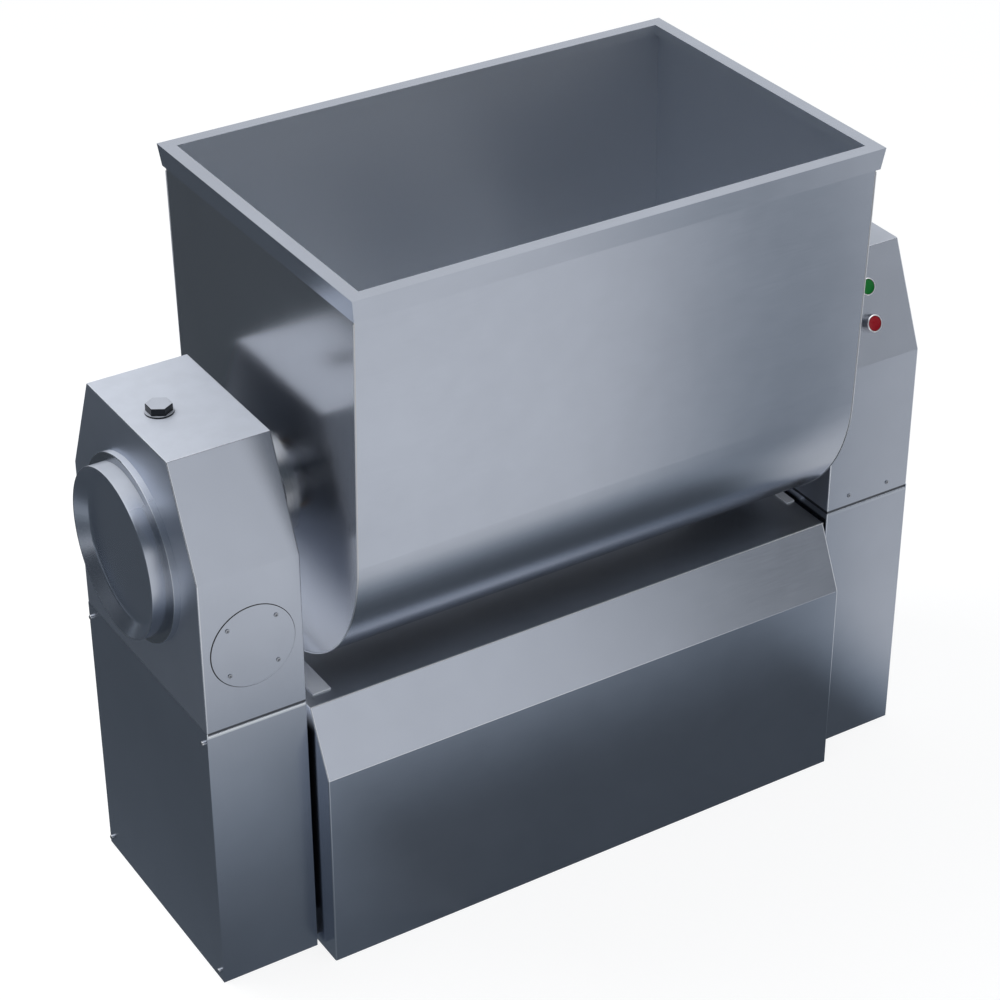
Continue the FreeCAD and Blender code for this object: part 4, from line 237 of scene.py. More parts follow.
def paint_fold_highlights(material, slope_feet=0.0):
    """Paint a highlight on a steel's folds; on the feet of its slopes only as far as given."""
    tree = material.node_tree
    folds = tree.nodes.new("ShaderNodeGroup")
    folds.node_tree = fold_highlight_group
    tree.links.new(on_piece(tree, "Normal"), folds.inputs["Normal"])
    highlighted_feet = product(tree, folds.outputs["Slope Foot"], slope_feet)
    repaint(material, combine(tree, "MAXIMUM", folds.outputs["Corners"], highlighted_feet), fold_highlight_tone)


# Tone and width of the highlight painted just under the boxes' top edge.
top_edge_highlight_tone = (0.90, 0.945, 1.0, 1.0)
top_edge_highlight_width = 0.0065
box_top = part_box("lower_box_left")[1].z


def paint_top_edge_highlight(material):
    """Paint a highlight on the boxes' fronts just under their top edge, the left one far more than the right
    one.
    """
    tree = material.node_tree
    place = on_piece(tree, "Object")
    front = ramp(tree, along(tree, on_piece(tree, "Normal"), "Y"), start=-0.5, end=-0.8)
    under_edge = ramp(tree, along(tree, place, "Z"), start=box_top - top_edge_highlight_width,
                      end=box_top - 0.8 * top_edge_highlight_width)
    leftmost = ramp(tree, along(tree, place, "X"), start=0.5, end=-0.5, low=0.15)
    repaint(material, product(tree, product(tree, front, under_edge), leftmost), top_edge_highlight_tone)


def dress(material, *names):
    """Give CAD nodes a material in all their slots."""
    for name in names:
        mesh = nodes[name].data
        mesh.materials.clear()
        mesh.materials.append(material)


steel_tone = (0.512, 0.554, 0.640)
upright_lines = (1.0, 1.0, 0.04)
pillar_steel = satin_steel("pillar_steel", steel_tone, roughness=0.25, clouding=0.04,
                           line_stretch=upright_lines)
paint_fold_highlights(pillar_steel)
paint_top_edge_highlight(pillar_steel)
dress(pillar_steel, "lower_box_left", "lower_box_right", "side_panel_left", "side_panel_right")


# Upper covers.
# The same sheet folded into hoods with sloping front and rear. Their level crowns are
# duller under fine dust and wiping, and painted paler than the upright sides as a top light.
# Strength and tone of the painted glow, seen only in reflections, on the hoods' and boxes' inner sides.
gap_glow_strength = 0.48
gap_glow_tone = (0.92, 0.97, 1.07, 1.0)


def paint_gap_glow(material):
    """Low on the side that faces the tub's left end, a painted glow seen only in reflections, which lights
    that end's lower part.
    """
    tree = material.node_tree
    shader = tree.nodes["Principled BSDF"]
    paths = tree.nodes.new("ShaderNodeLightPath")
    surface = tree.nodes.new("ShaderNodeNewGeometry")
    x_way = along(tree, surface.outputs["Position"], "X")
    z_way = along(tree, surface.outputs["Position"], "Z")
    inward = product(tree, ramp(tree, along(tree, surface.outputs["Normal"], "X"), start=0.90, end=0.99),
                     ramp(tree, x_way, start=-0.50, end=-0.54))
    low = product(tree, ramp(tree, z_way, start=0.775, end=0.60, high=gap_glow_strength),
                  ramp(tree, z_way, start=0.47, end=0.53))
    painted_gap_glow = product(tree, product(tree, inward, low), paths.outputs["Is Glossy Ray"])
    tree.links.new(painted_gap_glow, shader.inputs["Emission Strength"])
    shader.inputs["Emission Color"].default_value = gap_glow_tone


def dull(material, amount):
    """Add an amount to a material's roughness."""
    tree = material.node_tree
    gloss = tree.nodes["Principled BSDF"].inputs["Roughness"]
    tree.links.new(total(tree, gloss.links[0].from_socket, amount), gloss)


def roughen_sides(material, amount):
    """Leave the flat outer sides of a hood with a coarser grinding than its front."""
    tree = material.node_tree
    sideways = combine(tree, "ABSOLUTE", along(tree, on_piece(tree, "Normal"), "X"))
    dull(material, ramp(tree, sideways, start=0.90, end=0.98, high=amount))


# Tone painted on up-facing faces as a top light, where dust also dulls them.
dust_and_top_light_tone = (0.91, 0.965, 1.085, 1.0)
dust_roughness = 0.22


def dust_and_top_light_faces(material, paleness, dullness):
    """Where the sheet faces up, paint a steel paler as a painted top light, and leave it matt and duller as
    under dust.
    """
    tree = material.node_tree
    surface = tree.nodes.new("ShaderNodeNewGeometry")
    level = ramp(tree, along(tree, surface.outputs["Normal"], "Z"), start=0.80, end=0.97)
    specks = noise(tree, surface.outputs["Position"], scale=30.0, detail=4.0)
    tone = ramp(tree, specks, start=0.3, end=0.7, low=paleness - 0.015, high=paleness + 0.015)
    repaint(material, level, tinted(tree, dust_and_top_light_tone, tone))
    bare = combine(tree, "SUBTRACT", 1.0, product(tree, level, dullness))
    tree.links.new(bare, tree.nodes["Principled BSDF"].inputs["Metallic"])
    dull(material, product(tree, level, dust_roughness))


hood_steel = satin_steel("hood_steel", steel_tone, roughness=0.25, clouding=0.04, line_stretch=upright_lines)
paint_gap_glow(hood_steel)
paint_gap_glow(pillar_steel)
paint_fold_highlights(hood_steel)
roughen_sides(hood_steel, 0.16)
dust_and_top_light_faces(hood_steel, paleness=0.63, dullness=0.75)
dress(hood_steel, "upper_cover_left", "upper_cover_right", "inspection_cover")
even_grain = (1.0, 1.0, 1.0)
# The deck plates between hood and box are painted dark as the shade under the hood's edge.
joint_steel = satin_steel("joint_steel", (0.118, 0.126, 0.143), roughness=0.38, clouding=0.05,
                          line_stretch=even_grain)
dress(joint_steel, "deck_plate_left", "deck_plate_right")


# Base casing.
# The long front with its sloping crest, the top plate under the tub and the rear panel
# with its cooling slots: folded sheet, ground lengthwise and screwed to the rails.
long_lines = (0.04, 1.0, 1.0)
casing_steel = satin_steel("casing_steel", steel_tone, roughness=0.18, clouding=0.04, line_stretch=long_lines)
paint_fold_highlights(casing_steel, slope_feet=1.0)
dress(casing_steel, "apron_casing", "base_rear_panel", "floor_plate")
deck_steel = satin_steel("deck_steel", (0.62, 0.64, 0.67), roughness=0.36, clouding=0.06,
                         line_stretch=long_lines)
dress(deck_steel, "base_top_plate")


# Rest strips.
# Two pale strips of moulded plastic beside the tub's ends, glued to the top plate.
stain_gloss = 0.22


def make_skin_group():
    """The uneven skin of paint, casting or moulding."""
    group, given, result = new_group(
        "rough_skin",
        [("Vector", "NodeSocketVector", (0.0, 0.0, 0.0)), ("Colour", "NodeSocketColor", (0.5, 0.5, 0.5, 1.0)),
         ("Roughness", "NodeSocketFloat", 0.5), ("Grain Scale", "NodeSocketFloat", 300.0),
         ("Staining", "NodeSocketFloat", 0.14)],
        [("Colour", "NodeSocketColor"), ("Roughness", "NodeSocketFloat"), ("Height", "NodeSocketFloat")])
    grain = group.nodes.new("ShaderNodeTexNoise")
    grain.inputs["Detail"].default_value = 4.0
    group.links.new(given.outputs["Vector"], grain.inputs["Vector"])
    group.links.new(given.outputs["Grain Scale"], grain.inputs["Scale"])
    blots = noise(group, given.outputs["Vector"], scale=9.0, detail=4.0, roughness=0.6)
    stains = combine(group, "SUBTRACT", blots, 0.5)
    tone = total(group, 1.0, product(group, stains, given.outputs["Staining"]))
    group.links.new(tinted(group, given.outputs["Colour"], tone), result.inputs["Colour"])
    uneven_gloss = product(group, stains, stain_gloss)
    group.links.new(total(group, given.outputs["Roughness"], uneven_gloss), result.inputs["Roughness"])
    group.links.new(grain.outputs["Fac"], result.inputs["Height"])
    return group


skin_group = make_skin_group()


def skinned(name, colour, roughness, metallic, grain_scale, depth, staining=0.5):
    """A painted, cast or moulded surface with an uneven skin."""
    material = bpy.data.materials.new(name)
    material.use_nodes = True
    tree = material.node_tree
    shader = tree.nodes["Principled BSDF"]
    shader.inputs["Metallic"].default_value = metallic
    finish = tree.nodes.new("ShaderNodeGroup")
    finish.node_tree = skin_group
    finish.inputs["Colour"].default_value = (*colour, 1.0)
    finish.inputs["Roughness"].default_value = roughness
    finish.inputs["Grain Scale"].default_value = grain_scale
    finish.inputs["Staining"].default_value = staining
    tree.links.new(on_piece(tree, "Object"), finish.inputs["Vector"])
    tree.links.new(finish.outputs["Colour"], shader.inputs["Base Color"])
    tree.links.new(finish.outputs["Roughness"], shader.inputs["Roughness"])
    bump = tree.nodes.new("ShaderNodeBump")
    bump.inputs["Strength"].default_value = 0.5
    bump.inputs["Distance"].default_value = depth
    tree.links.new(finish.outputs["Height"], bump.inputs["Height"])
    tree.links.new(bump.outputs["Normal"], shader.inputs["Normal"])
    return material


strip_white = skinned("strip_white", (0.92, 0.94, 1.0), roughness=0.45, metallic=0.0, grain_scale=500.0,
                      depth=0.00005, staining=0.06)
dress(strip_white, "rest_strips")


# Tub.
# 3 mm stainless sheet bent to a U, with end plates welded in and a rim folded round the
# mouth. Finely ground outside, and paler and duller inside.

def joint(name):
    """A joint's entry in the frame."""
    return [item for item in frame["joints"] if item["name"] == name][0]


tub_centre = Vector(joint("tub_tilt")["pos_m"])
inside_tone = (0.700, 0.738, 0.800, 1.0)


def dull_inside(material, amount):
    """Leave a tub steel paler and duller where its face looks into the tub."""
    tree = material.node_tree
    reach = tree.nodes.new("ShaderNodeVectorMath")
    reach.operation = "SUBTRACT"
    tree.links.new(on_piece(tree, "Object"), reach.inputs[0])
    reach.inputs[1].default_value = tub_centre
    outward = tree.nodes.new("ShaderNodeVectorMath")
    outward.operation = "DOT_PRODUCT"
    tree.links.new(on_piece(tree, "Normal"), outward.inputs[0])
    tree.links.new(reach.outputs["Vector"], outward.inputs[1])
    inside = ramp(tree, outward.outputs["Value"], start=0.01, end=-0.01)
    dull(material, product(tree, inside, amount))
    repaint(material, inside, inside_tone)


tub_steel = satin_steel("tub_steel", steel_tone, roughness=0.22, clouding=0.04, line_stretch=long_lines)
dull_inside(tub_steel, 0.26)
dress(tub_steel, "tub_shell")
end_steel = satin_steel("tub_end_steel", (0.552, 0.566, 0.600), roughness=0.20, clouding=0.04,
                        line_stretch=upright_lines)
dull_inside(end_steel, 0.24)
dress(end_steel, "tub_end_plate_left", "tub_end_plate_right")
rim_steel = satin_steel("rim_steel", steel_tone, roughness=0.25, clouding=0.03, line_stretch=long_lines)
dull_inside(rim_steel, 0.22)
dress(rim_steel, "tub_rim")


# Tub seams.
# The fillet of weld along each end plate's edge, ground back to a thin bead from rim to
# rim round the bottom, painted paler than the tub as a highlight along its edge.
shell_radius = 0.310
wall_lean = math.radians(1.81)
wall_height = 0.462
seam_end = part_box("tub_end_plate_right")[1].x
bead_radius = 0.0009
bead_sides = 10
bead_steps = 56


def choose(piece, domain, test):
    """Select only those faces, edges or corners of a piece that pass a test on their middle."""
    bpy.ops.object.mode_set(mode="OBJECT")
    mesh = piece.data
    for parts in (mesh.vertices, mesh.edges, mesh.polygons):
        parts.foreach_set("select", [False] * len(parts))
    for part in getattr(mesh, domain):
        if domain == "edges":
            middle = (mesh.vertices[part.vertices[0]].co + mesh.vertices[part.vertices[1]].co) / 2
        elif domain == "vertices":
            middle = part.co
        else:
            middle = part.center
        part.select = test(middle)
    bpy.ops.object.mode_set(mode="EDIT")
    bpy.ops.mesh.select_mode(type={"vertices": "VERT", "edges": "EDGE", "polygons": "FACE"}[domain])


def settle(piece, material, body):
    """Finish a piece: outward faces, smooth shading, its place kept in its mesh, its body and slot."""
    bpy.ops.object.mode_set(mode="EDIT")
    bpy.ops.mesh.select_all(action="SELECT")
    bpy.ops.mesh.normals_make_consistent(inside=False)
    bpy.ops.object.mode_set(mode="OBJECT")
    bpy.ops.object.select_all(action="DESELECT")
    piece.select_set(True)
    bpy.context.view_layer.objects.active = piece
    bpy.ops.object.transform_apply(location=True, rotation=True, scale=True)
    bpy.ops.object.shade_smooth_by_angle(angle=math.radians(35.0))
    piece.data.materials.clear()
    piece.data.materials.append(material)
    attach(piece, body)
    bpy.ops.object.select_all(action="DESELECT")


def seam_foot(x, side):
    """Where the round bottom of the tub meets its front wall (side -1) or rear wall (side 1)."""
    out = side * shell_radius * math.cos(wall_lean)
    return tub_centre + Vector((x, out, -shell_radius * math.sin(wall_lean)))


def tub_seam(name, x):
    """A bead swept round the U and drawn up both walls."""
    bpy.ops.mesh.primitive_circle_add(vertices=bead_sides, radius=bead_radius, location=seam_foot(x, 1),
                                      rotation=(-wall_lean, 0.0, 0.0))
    bead = bpy.context.object
    bead.name = name
    bpy.ops.object.transform_apply(location=True, rotation=True, scale=True)
    bpy.ops.object.mode_set(mode="EDIT")
    bpy.ops.mesh.select_all(action="SELECT")
    bpy.ops.mesh.spin(steps=bead_steps, angle=math.pi - 2 * wall_lean, center=(x, tub_centre.y, tub_centre.z),
                      axis=(1.0, 0.0, 0.0))
    for side in (1, -1):
        foot = seam_foot(x, side)
        choose(bead, "vertices", lambda point: (point - foot).length < 1.3 * bead_radius)
        up_wall = (0.0, side * wall_height * math.sin(wall_lean), wall_height * math.cos(wall_lean))
        bpy.ops.mesh.extrude_region_move(TRANSFORM_OT_translate={"value": up_wall})
        bpy.ops.mesh.edge_face_add()
    settle(bead, bead_steel, "tub")


# The bead's paler steel is a painted highlight along the tub's edges.
bead_steel = satin_steel("bead_steel", (0.66, 0.685, 0.73), roughness=0.30, clouding=0.05,
                         line_stretch=even_grain, line_depth=0.00004)
tub_seam("tub_seam_left", -seam_end)
tub_seam("tub_seam_right", seam_end)


# Trunnions, shaft and paddles.
# Stainless steel, turned and welded, with turning lines round the shaft's axis and
# upright grinding on the blades.
turned_lines = (1.0, 0.05, 0.05)
turned_steel = satin_steel("turned_steel", (0.55, 0.57, 0.60), roughness=0.24, clouding=0.04,
                           line_stretch=turned_lines)
dress(turned_steel, "trunnion_left", "trunnion_right", "mixing_shaft")
paddle_steel = satin_steel("paddle_steel", (0.55, 0.57, 0.60), roughness=0.26, clouding=0.08,
                           line_stretch=upright_lines)
dress(paddle_steel, "mixing_paddles")


# Drive cap.
# A spun stainless cover with a dished face, on a flat ring screwed to the left hood.
# Both are dulled by dust on their upper side and painted paler there as a top light, as on the hood's crown.

def shade(material, tone):
    """Make a material's colour lighter or darker by a value round one."""
    tree = material.node_tree
    base = tree.nodes["Principled BSDF"].inputs["Base Color"]
    tree.links.new(tinted(tree, base.links[0].from_socket, tone), base)


def paint_flat_face_shade(material, share):
    """Paint shade on the face that lies against the side, as dark as the side itself; the rim keeps a painted
    highlight.
    """
    tree = material.node_tree
    flat = combine(tree, "ABSOLUTE", along(tree, on_piece(tree, "Normal"), "X"))
    shade(material, ramp(tree, flat, start=0.90, end=0.98, low=1.0, high=share))


spun_lines = (1.0, 0.6, 0.6)
spun_steel = satin_steel("spun_steel", steel_tone, roughness=0.24, clouding=0.03, line_stretch=spun_lines,
                         line_depth=0.000004)
dust_and_top_light_faces(spun_steel, paleness=0.58, dullness=0.75)
dress(spun_steel, "drive_cap")
# The ring's pale steel is a painted highlight on its rim; its flat face gets painted shade.
ring_steel = satin_steel("ring_steel", (0.60, 0.64, 0.71), roughness=0.24, clouding=0.03,
                         line_stretch=spun_lines, line_depth=0.000004)
paint_flat_face_shade(ring_steel, 0.58)
dust_and_top_light_faces(ring_steel, paleness=0.72, dullness=0.75)
dress(ring_steel, "drive_cap_ring")


# Filler plug, washer, nut and bolts.
# The plug and its washer are blackened steel, screwed into the hood's crown, with dust on
# top and a painted top light there. The trunnions' bolts and the pulley's nut are bright
# stainless steel.
plug_steel = satin_steel("plug_steel", (0.030, 0.032, 0.036), roughness=0.30, clouding=0.06,
                         line_stretch=even_grain)
dust_and_top_light_faces(plug_steel, paleness=0.56, dullness=0.65)
dress(plug_steel, "filler_plug", "filler_plug_washer")
bright_steel = satin_steel("bright_steel", (0.60, 0.62, 0.66), roughness=0.20, clouding=0.06,
                           line_stretch=even_grain)
dress(bright_steel, "trunnion_bolts", "pulley_nut")


# Cover screws.
# Pan heads with a hexagon socket, pressed on tight: low ones on the hoods, the round
# cover and the rear panel, and taller ones at the corners of the side panels.
screw_sides = 32
key_sides = 6


def make_screw(name, head_radius, head_rise, shank_radius, shank_length, key_radius, key_depth):
    """One screw along +Z, with the seat of its head at the origin."""
    bpy.ops.mesh.primitive_cylinder_add(vertices=screw_sides, radius=head_radius, depth=head_rise,
                                        location=(0.0, 0.0, head_rise / 2))
    screw = bpy.context.object
    screw.name = name
    bpy.ops.object.transform_apply(location=True, rotation=True, scale=True)
    choose(screw, "edges", lambda middle: middle.z > 0.9 * head_rise)
    bpy.ops.mesh.bevel(offset=0.4 * head_rise, segments=4, affect="EDGES")
    choose(screw, "polygons", lambda middle: middle.z < 0.01 * head_rise)
    bpy.ops.mesh.inset(thickness=head_radius - shank_radius, depth=0.0)
    bpy.ops.mesh.extrude_region_move(TRANSFORM_OT_translate={"value": (0.0, 0.0, -shank_length)})
    bpy.ops.object.mode_set(mode="OBJECT")
    bpy.ops.mesh.primitive_cylinder_add(vertices=key_sides, radius=key_radius, depth=2 * key_depth,
                                        location=(0.0, 0.0, head_rise))
    key = bpy.context.object
    key.name = name + "_key"
    bpy.context.view_layer.objects.active = screw
    socket = screw.modifiers.new("socket", "BOOLEAN")
    socket.operation = "DIFFERENCE"
    socket.object = key
    bpy.ops.object.modifier_apply(modifier="socket")
    bpy.data.objects.remove(key, do_unlink=True)
    return screw


def solid_boxes(name, reach):
    """The lowest and highest corners of each separate solid of a CAD node."""
    found = []
    for corner in nodes[name].data.vertices:
        for low, high in found:
            if all(low[i] - reach < corner.co[i] < high[i] + reach for i in range(3)):
                for i in range(3):
                    low[i] = min(low[i], corner.co[i])
                    high[i] = max(high[i], corner.co[i])
                break
        else:
            found.append((list(corner.co), list(corner.co)))
    return found


def set_screws(name, node, axis, material, head_radius, head_rise, shank_radius, key_radius, key_depth):
    """A screw at each place of a CAD node's screws, joined into the one piece that stands for them."""
    placed = []
    for number, (low, high) in enumerate(solid_boxes(node, reach=0.012)):
        middle = [(low[i] + high[i]) / 2 for i in range(3)]
        outward = Vector((0.0, 0.0, 0.0))
        outward[axis] = 1.0 if middle[axis] > 0 else -1.0
        middle[axis] = (high if middle[axis] > 0 else low)[axis] - head_rise * outward[axis]
        shank_length = high[axis] - low[axis] - head_rise
        screw = make_screw("%s_%d" % (name, number), head_radius, head_rise, shank_radius, shank_length,
                           key_radius, key_depth)
        turn = outward.to_track_quat("Z", "Y").to_matrix().to_4x4()
        screw.data.transform(Matrix.Translation(middle) @ turn)
        placed.append(screw)
    bpy.ops.object.select_all(action="DESELECT")
    for screw in placed:
        screw.select_set(True)
    joined = placed[0]
    bpy.context.view_layer.objects.active = joined
    bpy.ops.object.join()
    joined.name = name
    settle(joined, material, "root")
    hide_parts(node)


head_steel = satin_steel("head_steel", (0.41, 0.43, 0.475), roughness=0.30, clouding=0.06,
                         line_stretch=even_grain)
set_screws("cover_screw_heads", "cover_screws", axis=1, material=head_steel, head_radius=0.0040,
           head_rise=0.0015, shank_radius=0.0025, key_radius=0.0019, key_depth=0.0014)
set_screws("side_screw_heads", "side_panel_screws", axis=0, material=bright_steel, head_radius=0.0045,
           head_rise=0.0060, shank_radius=0.0025, key_radius=0.0022, key_depth=0.0028)


# Inspection cover's seal.
# A black rubber seal pressed into the groove round the flush round plate, its black a
# painted shade in the groove. The plate hangs a little low and to the right, so the seal
# shows widest at the upper left.
pillar_middle = 0.65475
plate_drop = 0.0009
hole_radius = 0.0800
plate_radius = 0.0785
seal_recess = 0.0004
seal_depth = 0.0014
seal_sides = 128
cover_low, cover_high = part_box("inspection_cover")
cover_height = (cover_low.z + cover_high.z) / 2
seal_front = cover_low.y + seal_recess


def upright_circle(radius, x, z):
    """A circle that faces the front."""
    bpy.ops.mesh.primitive_circle_add(vertices=seal_sides, radius=radius, location=(x, seal_front, z),
                                      rotation=(math.radians(90.0), 0.0, 0.0))
    return bpy.context.object


outer_edge = upright_circle(hole_radius, -pillar_middle, cover_height)
seal = upright_circle(plate_radius, plate_drop - pillar_middle, cover_height - plate_drop)
seal.name = "inspection_seal"
outer_edge.select_set(True)
bpy.ops.object.join()
bpy.ops.object.transform_apply(location=True, rotation=True, scale=True)
bpy.ops.object.mode_set(mode="EDIT")
bpy.ops.mesh.select_mode(type="EDGE")
bpy.ops.mesh.select_all(action="SELECT")
bpy.ops.mesh.bridge_edge_loops()
bpy.ops.mesh.select_all(action="SELECT")
bpy.ops.mesh.extrude_region_move(TRANSFORM_OT_translate={"value": (0.0, seal_depth, 0.0)})
seal_rubber = skinned("seal_rubber", (0.012, 0.012, 0.013), roughness=0.7, metallic=0.0, grain_scale=500.0,
                      depth=0.0002)
settle(seal, seal_rubber, "root")


# Gears and shafts.
# Alloy steel, milled and turned, keyed to their shafts and darkened by oil.
gear_steel = satin_steel("gear_steel", (0.36, 0.36, 0.37), roughness=0.30, clouding=0.10,
                         line_stretch=even_grain)
dress(gear_steel, "main_gear", "idler_shaft", "idler_gear", "drive_shaft", "motor_shaft", "tilt_gear",
      "tilt_pinion")


# Side frames, rails, motor channel and electrical box.
# Flame-cut plate, box tube and folded sheet, welded or bolted together under grey enamel.
grey_enamel = skinned("grey_enamel", (0.20, 0.21, 0.22), roughness=0.42, metallic=0.0, grain_scale=260.0,
                      depth=0.0002)
dress(grey_enamel, "side_frame_left", "side_frame_right", "cross_rails", "motor_mount", "control_box")


# Castings.
# Gearbox, pulleys and tilt gearbox: grey cast iron, machined only where parts meet, with
# the sand's skin left on.
cast_skin = skinned("cast_skin", (0.13, 0.14, 0.15), roughness=0.62, metallic=0.4, grain_scale=420.0,
                    depth=0.0006)
dress(cast_skin, "gearbox_housing", "gearbox_cover", "gearbox_partition", "driven_pulley", "motor_pulley",
      "tilt_gearbox")


# Motors.
# Die-cast aluminium frames under blue-grey motor paint, bolted down by their feet or flange.
motor_paint = skinned("motor_paint", (0.12, 0.17, 0.24), roughness=0.45, metallic=0.0, grain_scale=300.0,
                      depth=0.0003)
dress(motor_paint, "main_motor", "tilt_motor")


# Bearings and bushes.
# Plain cast bronze, turned to size and pressed into their bores.
bronze = skinned("bronze", (0.48, 0.31, 0.13), roughness=0.35, metallic=1.0, grain_scale=300.0, depth=0.0001)
dress(bronze, "gear_shaft_bearings", "trunnion_bearings", "shaft_end_bush")


# Belts and seals.
# Black moulded rubber, dusty from running.
black_rubber = skinned("black_rubber", (0.018, 0.018, 0.018), roughness=0.7, metallic=0.0, grain_scale=500.0,
                       depth=0.0003)
dress(black_rubber, "v_belts", "shaft_seals")


# Push buttons.
# Moulded caps with a shallow finger dish in plated bezels, green to start and red to stop.
# Each cap goes through its bezel and slides on its stem.
cap_radius = 0.0140
cap_face = 0.0125
cap_foot = 0.0070
cap_edge = 0.0012
stem_radius = 0.0055
stem_end = -0.0200
cap_sides = 64
cap_shine = 0.2

# Width and drop of each ring of the dish, from the edge inwards
dish_rings = ((0.0008, 0.0), (0.0010, -0.0005), (0.0030, -0.0006), (0.0040, -0.0003))


def button_cap(name, node, joint_name, material):
    """A round cap with a rolled edge and a dished face, set on the slope's normal."""
    bpy.ops.mesh.primitive_cylinder_add(vertices=cap_sides, radius=cap_radius, depth=cap_face - cap_foot,
                                        location=(0.0, 0.0, (cap_face + cap_foot) / 2))
    cap = bpy.context.object
    cap.name = name
    bpy.ops.object.transform_apply(location=True, rotation=True, scale=True)
    choose(cap, "edges", lambda middle: middle.z > cap_face - 0.0002)
    bpy.ops.mesh.bevel(offset=cap_edge, segments=4, affect="EDGES")
    choose(cap, "polygons", lambda middle: middle.z > cap_face - 0.0001 and middle.xy.length < 0.001)
    for width, drop in dish_rings:
        bpy.ops.mesh.inset(thickness=width, depth=0.0)
        bpy.ops.transform.translate(value=(0.0, 0.0, drop))
    choose(cap, "polygons", lambda middle: middle.z < cap_foot + 0.0001)
    bpy.ops.mesh.inset(thickness=cap_radius - stem_radius, depth=0.0)
    bpy.ops.mesh.extrude_region_move(TRANSFORM_OT_translate={"value": (0.0, 0.0, stem_end - cap_foot)})
    bpy.ops.object.mode_set(mode="OBJECT")
    slide = joint(joint_name)
    outward = -Vector(slide["axis"])
    turn = outward.to_track_quat("Z", "Y").to_matrix().to_4x4()
    cap.data.transform(Matrix.Translation(slide["pos_m"]) @ turn)
    settle(cap, material, slide["child"])
    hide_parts(node)


cap_green = skinned("cap_green", (0.004, 0.180, 0.028), roughness=0.28, metallic=0.0, grain_scale=900.0,
                    depth=0.00003, staining=0.1)
cap_red = skinned("cap_red", (0.330, 0.003, 0.012), roughness=0.28, metallic=0.0, grain_scale=900.0,
                  depth=0.00003, staining=0.1)
for plastic in (cap_green, cap_red):
    plastic.node_tree.nodes["Principled BSDF"].inputs["Specular IOR Level"].default_value = cap_shine
button_cap("start_cap", "start_button", "start_press", cap_green)
button_cap("stop_cap", "stop_button", "stop_press", cap_red)


def paint_round_side_shade(material, axis, share):
    """Paint shade on the turned side of a plated ring, darker than the face that points along its axis."""
    tree = material.node_tree
    lengthwise = tree.nodes.new("ShaderNodeVectorMath")
    lengthwise.operation = "DOT_PRODUCT"
    lengthwise.inputs[1].default_value = axis
    tree.links.new(on_piece(tree, "Normal"), lengthwise.inputs[0])
    face = combine(tree, "ABSOLUTE", lengthwise.outputs["Value"])
    shade(material, ramp(tree, face, start=0.15, end=0.60, low=share))


bezel_plating = satin_steel("bezel_plating", (0.95, 0.94, 0.97), roughness=0.28, clouding=0.03,
                            line_stretch=even_grain)
# The bezels' turned sides get painted shade.
paint_round_side_shade(bezel_plating, joint("start_press")["axis"], 0.45)
dress(bezel_plating, "button_bezels")
black_plastic = skinned("black_plastic", (0.025, 0.025, 0.028), roughness=0.5, metallic=0.0,
                        grain_scale=600.0, depth=0.0002)
dress(black_plastic, "contact_blocks", "cable_gland")


# Smooth shading of the folded edges and turned faces.
# The CAD nodes come as flat triangles; their bends, bores and rounds are shaded round.
bpy.ops.object.select_all(action="DESELECT")
for node in nodes.values():
    node.select_set(True)
    bpy.context.view_layer.objects.active = node
bpy.ops.object.shade_smooth_by_angle(angle=math.radians(32.0))
bpy.ops.object.select_all(action="DESELECT")


# Studio floor.
# A plain pale floor that takes the machine's shadow. For the steel it glows instead with a
# painted reflection: bright in front, painted shade close to the machine and a painted dark
# band where a screen would stand to the right.
room_light = 0.78
dusk_blue = (0.83, 0.98, 1.15, 1.0)
clear_white = (1.0, 1.0, 1.0, 1.0)
floor_brightness = 0.84
floor_paint = (0.27, 0.27, 0.27, 1.0)
floor_size = 24.0
near_slant = 0.79
far_slant = 0.62
slant_bend = 2.1
patch_place = (-1.95, -0.10)


def flipped(tree, value):
    """One less a value."""
    return combine(tree, "SUBTRACT", 1.0, value)


def either(tree, first, second):
    """Two amounts of light that add up without passing one."""
    return flipped(tree, product(tree, flipped(tree, first), flipped(tree, second)))


def mirrored_light(tree, glow_kind, amount):
    """The light that steel sees: bluer where it is dim."""
    glow = tree.nodes.new(glow_kind)
    clearness = ramp(tree, amount, start=0.0, end=0.9)
    tree.links.new(blend_colours(tree, "MIX", clearness, dusk_blue, clear_white), glow.inputs["Color"])
    tree.links.new(product(tree, amount, room_light), glow.inputs["Strength"])
    return glow.outputs[0]


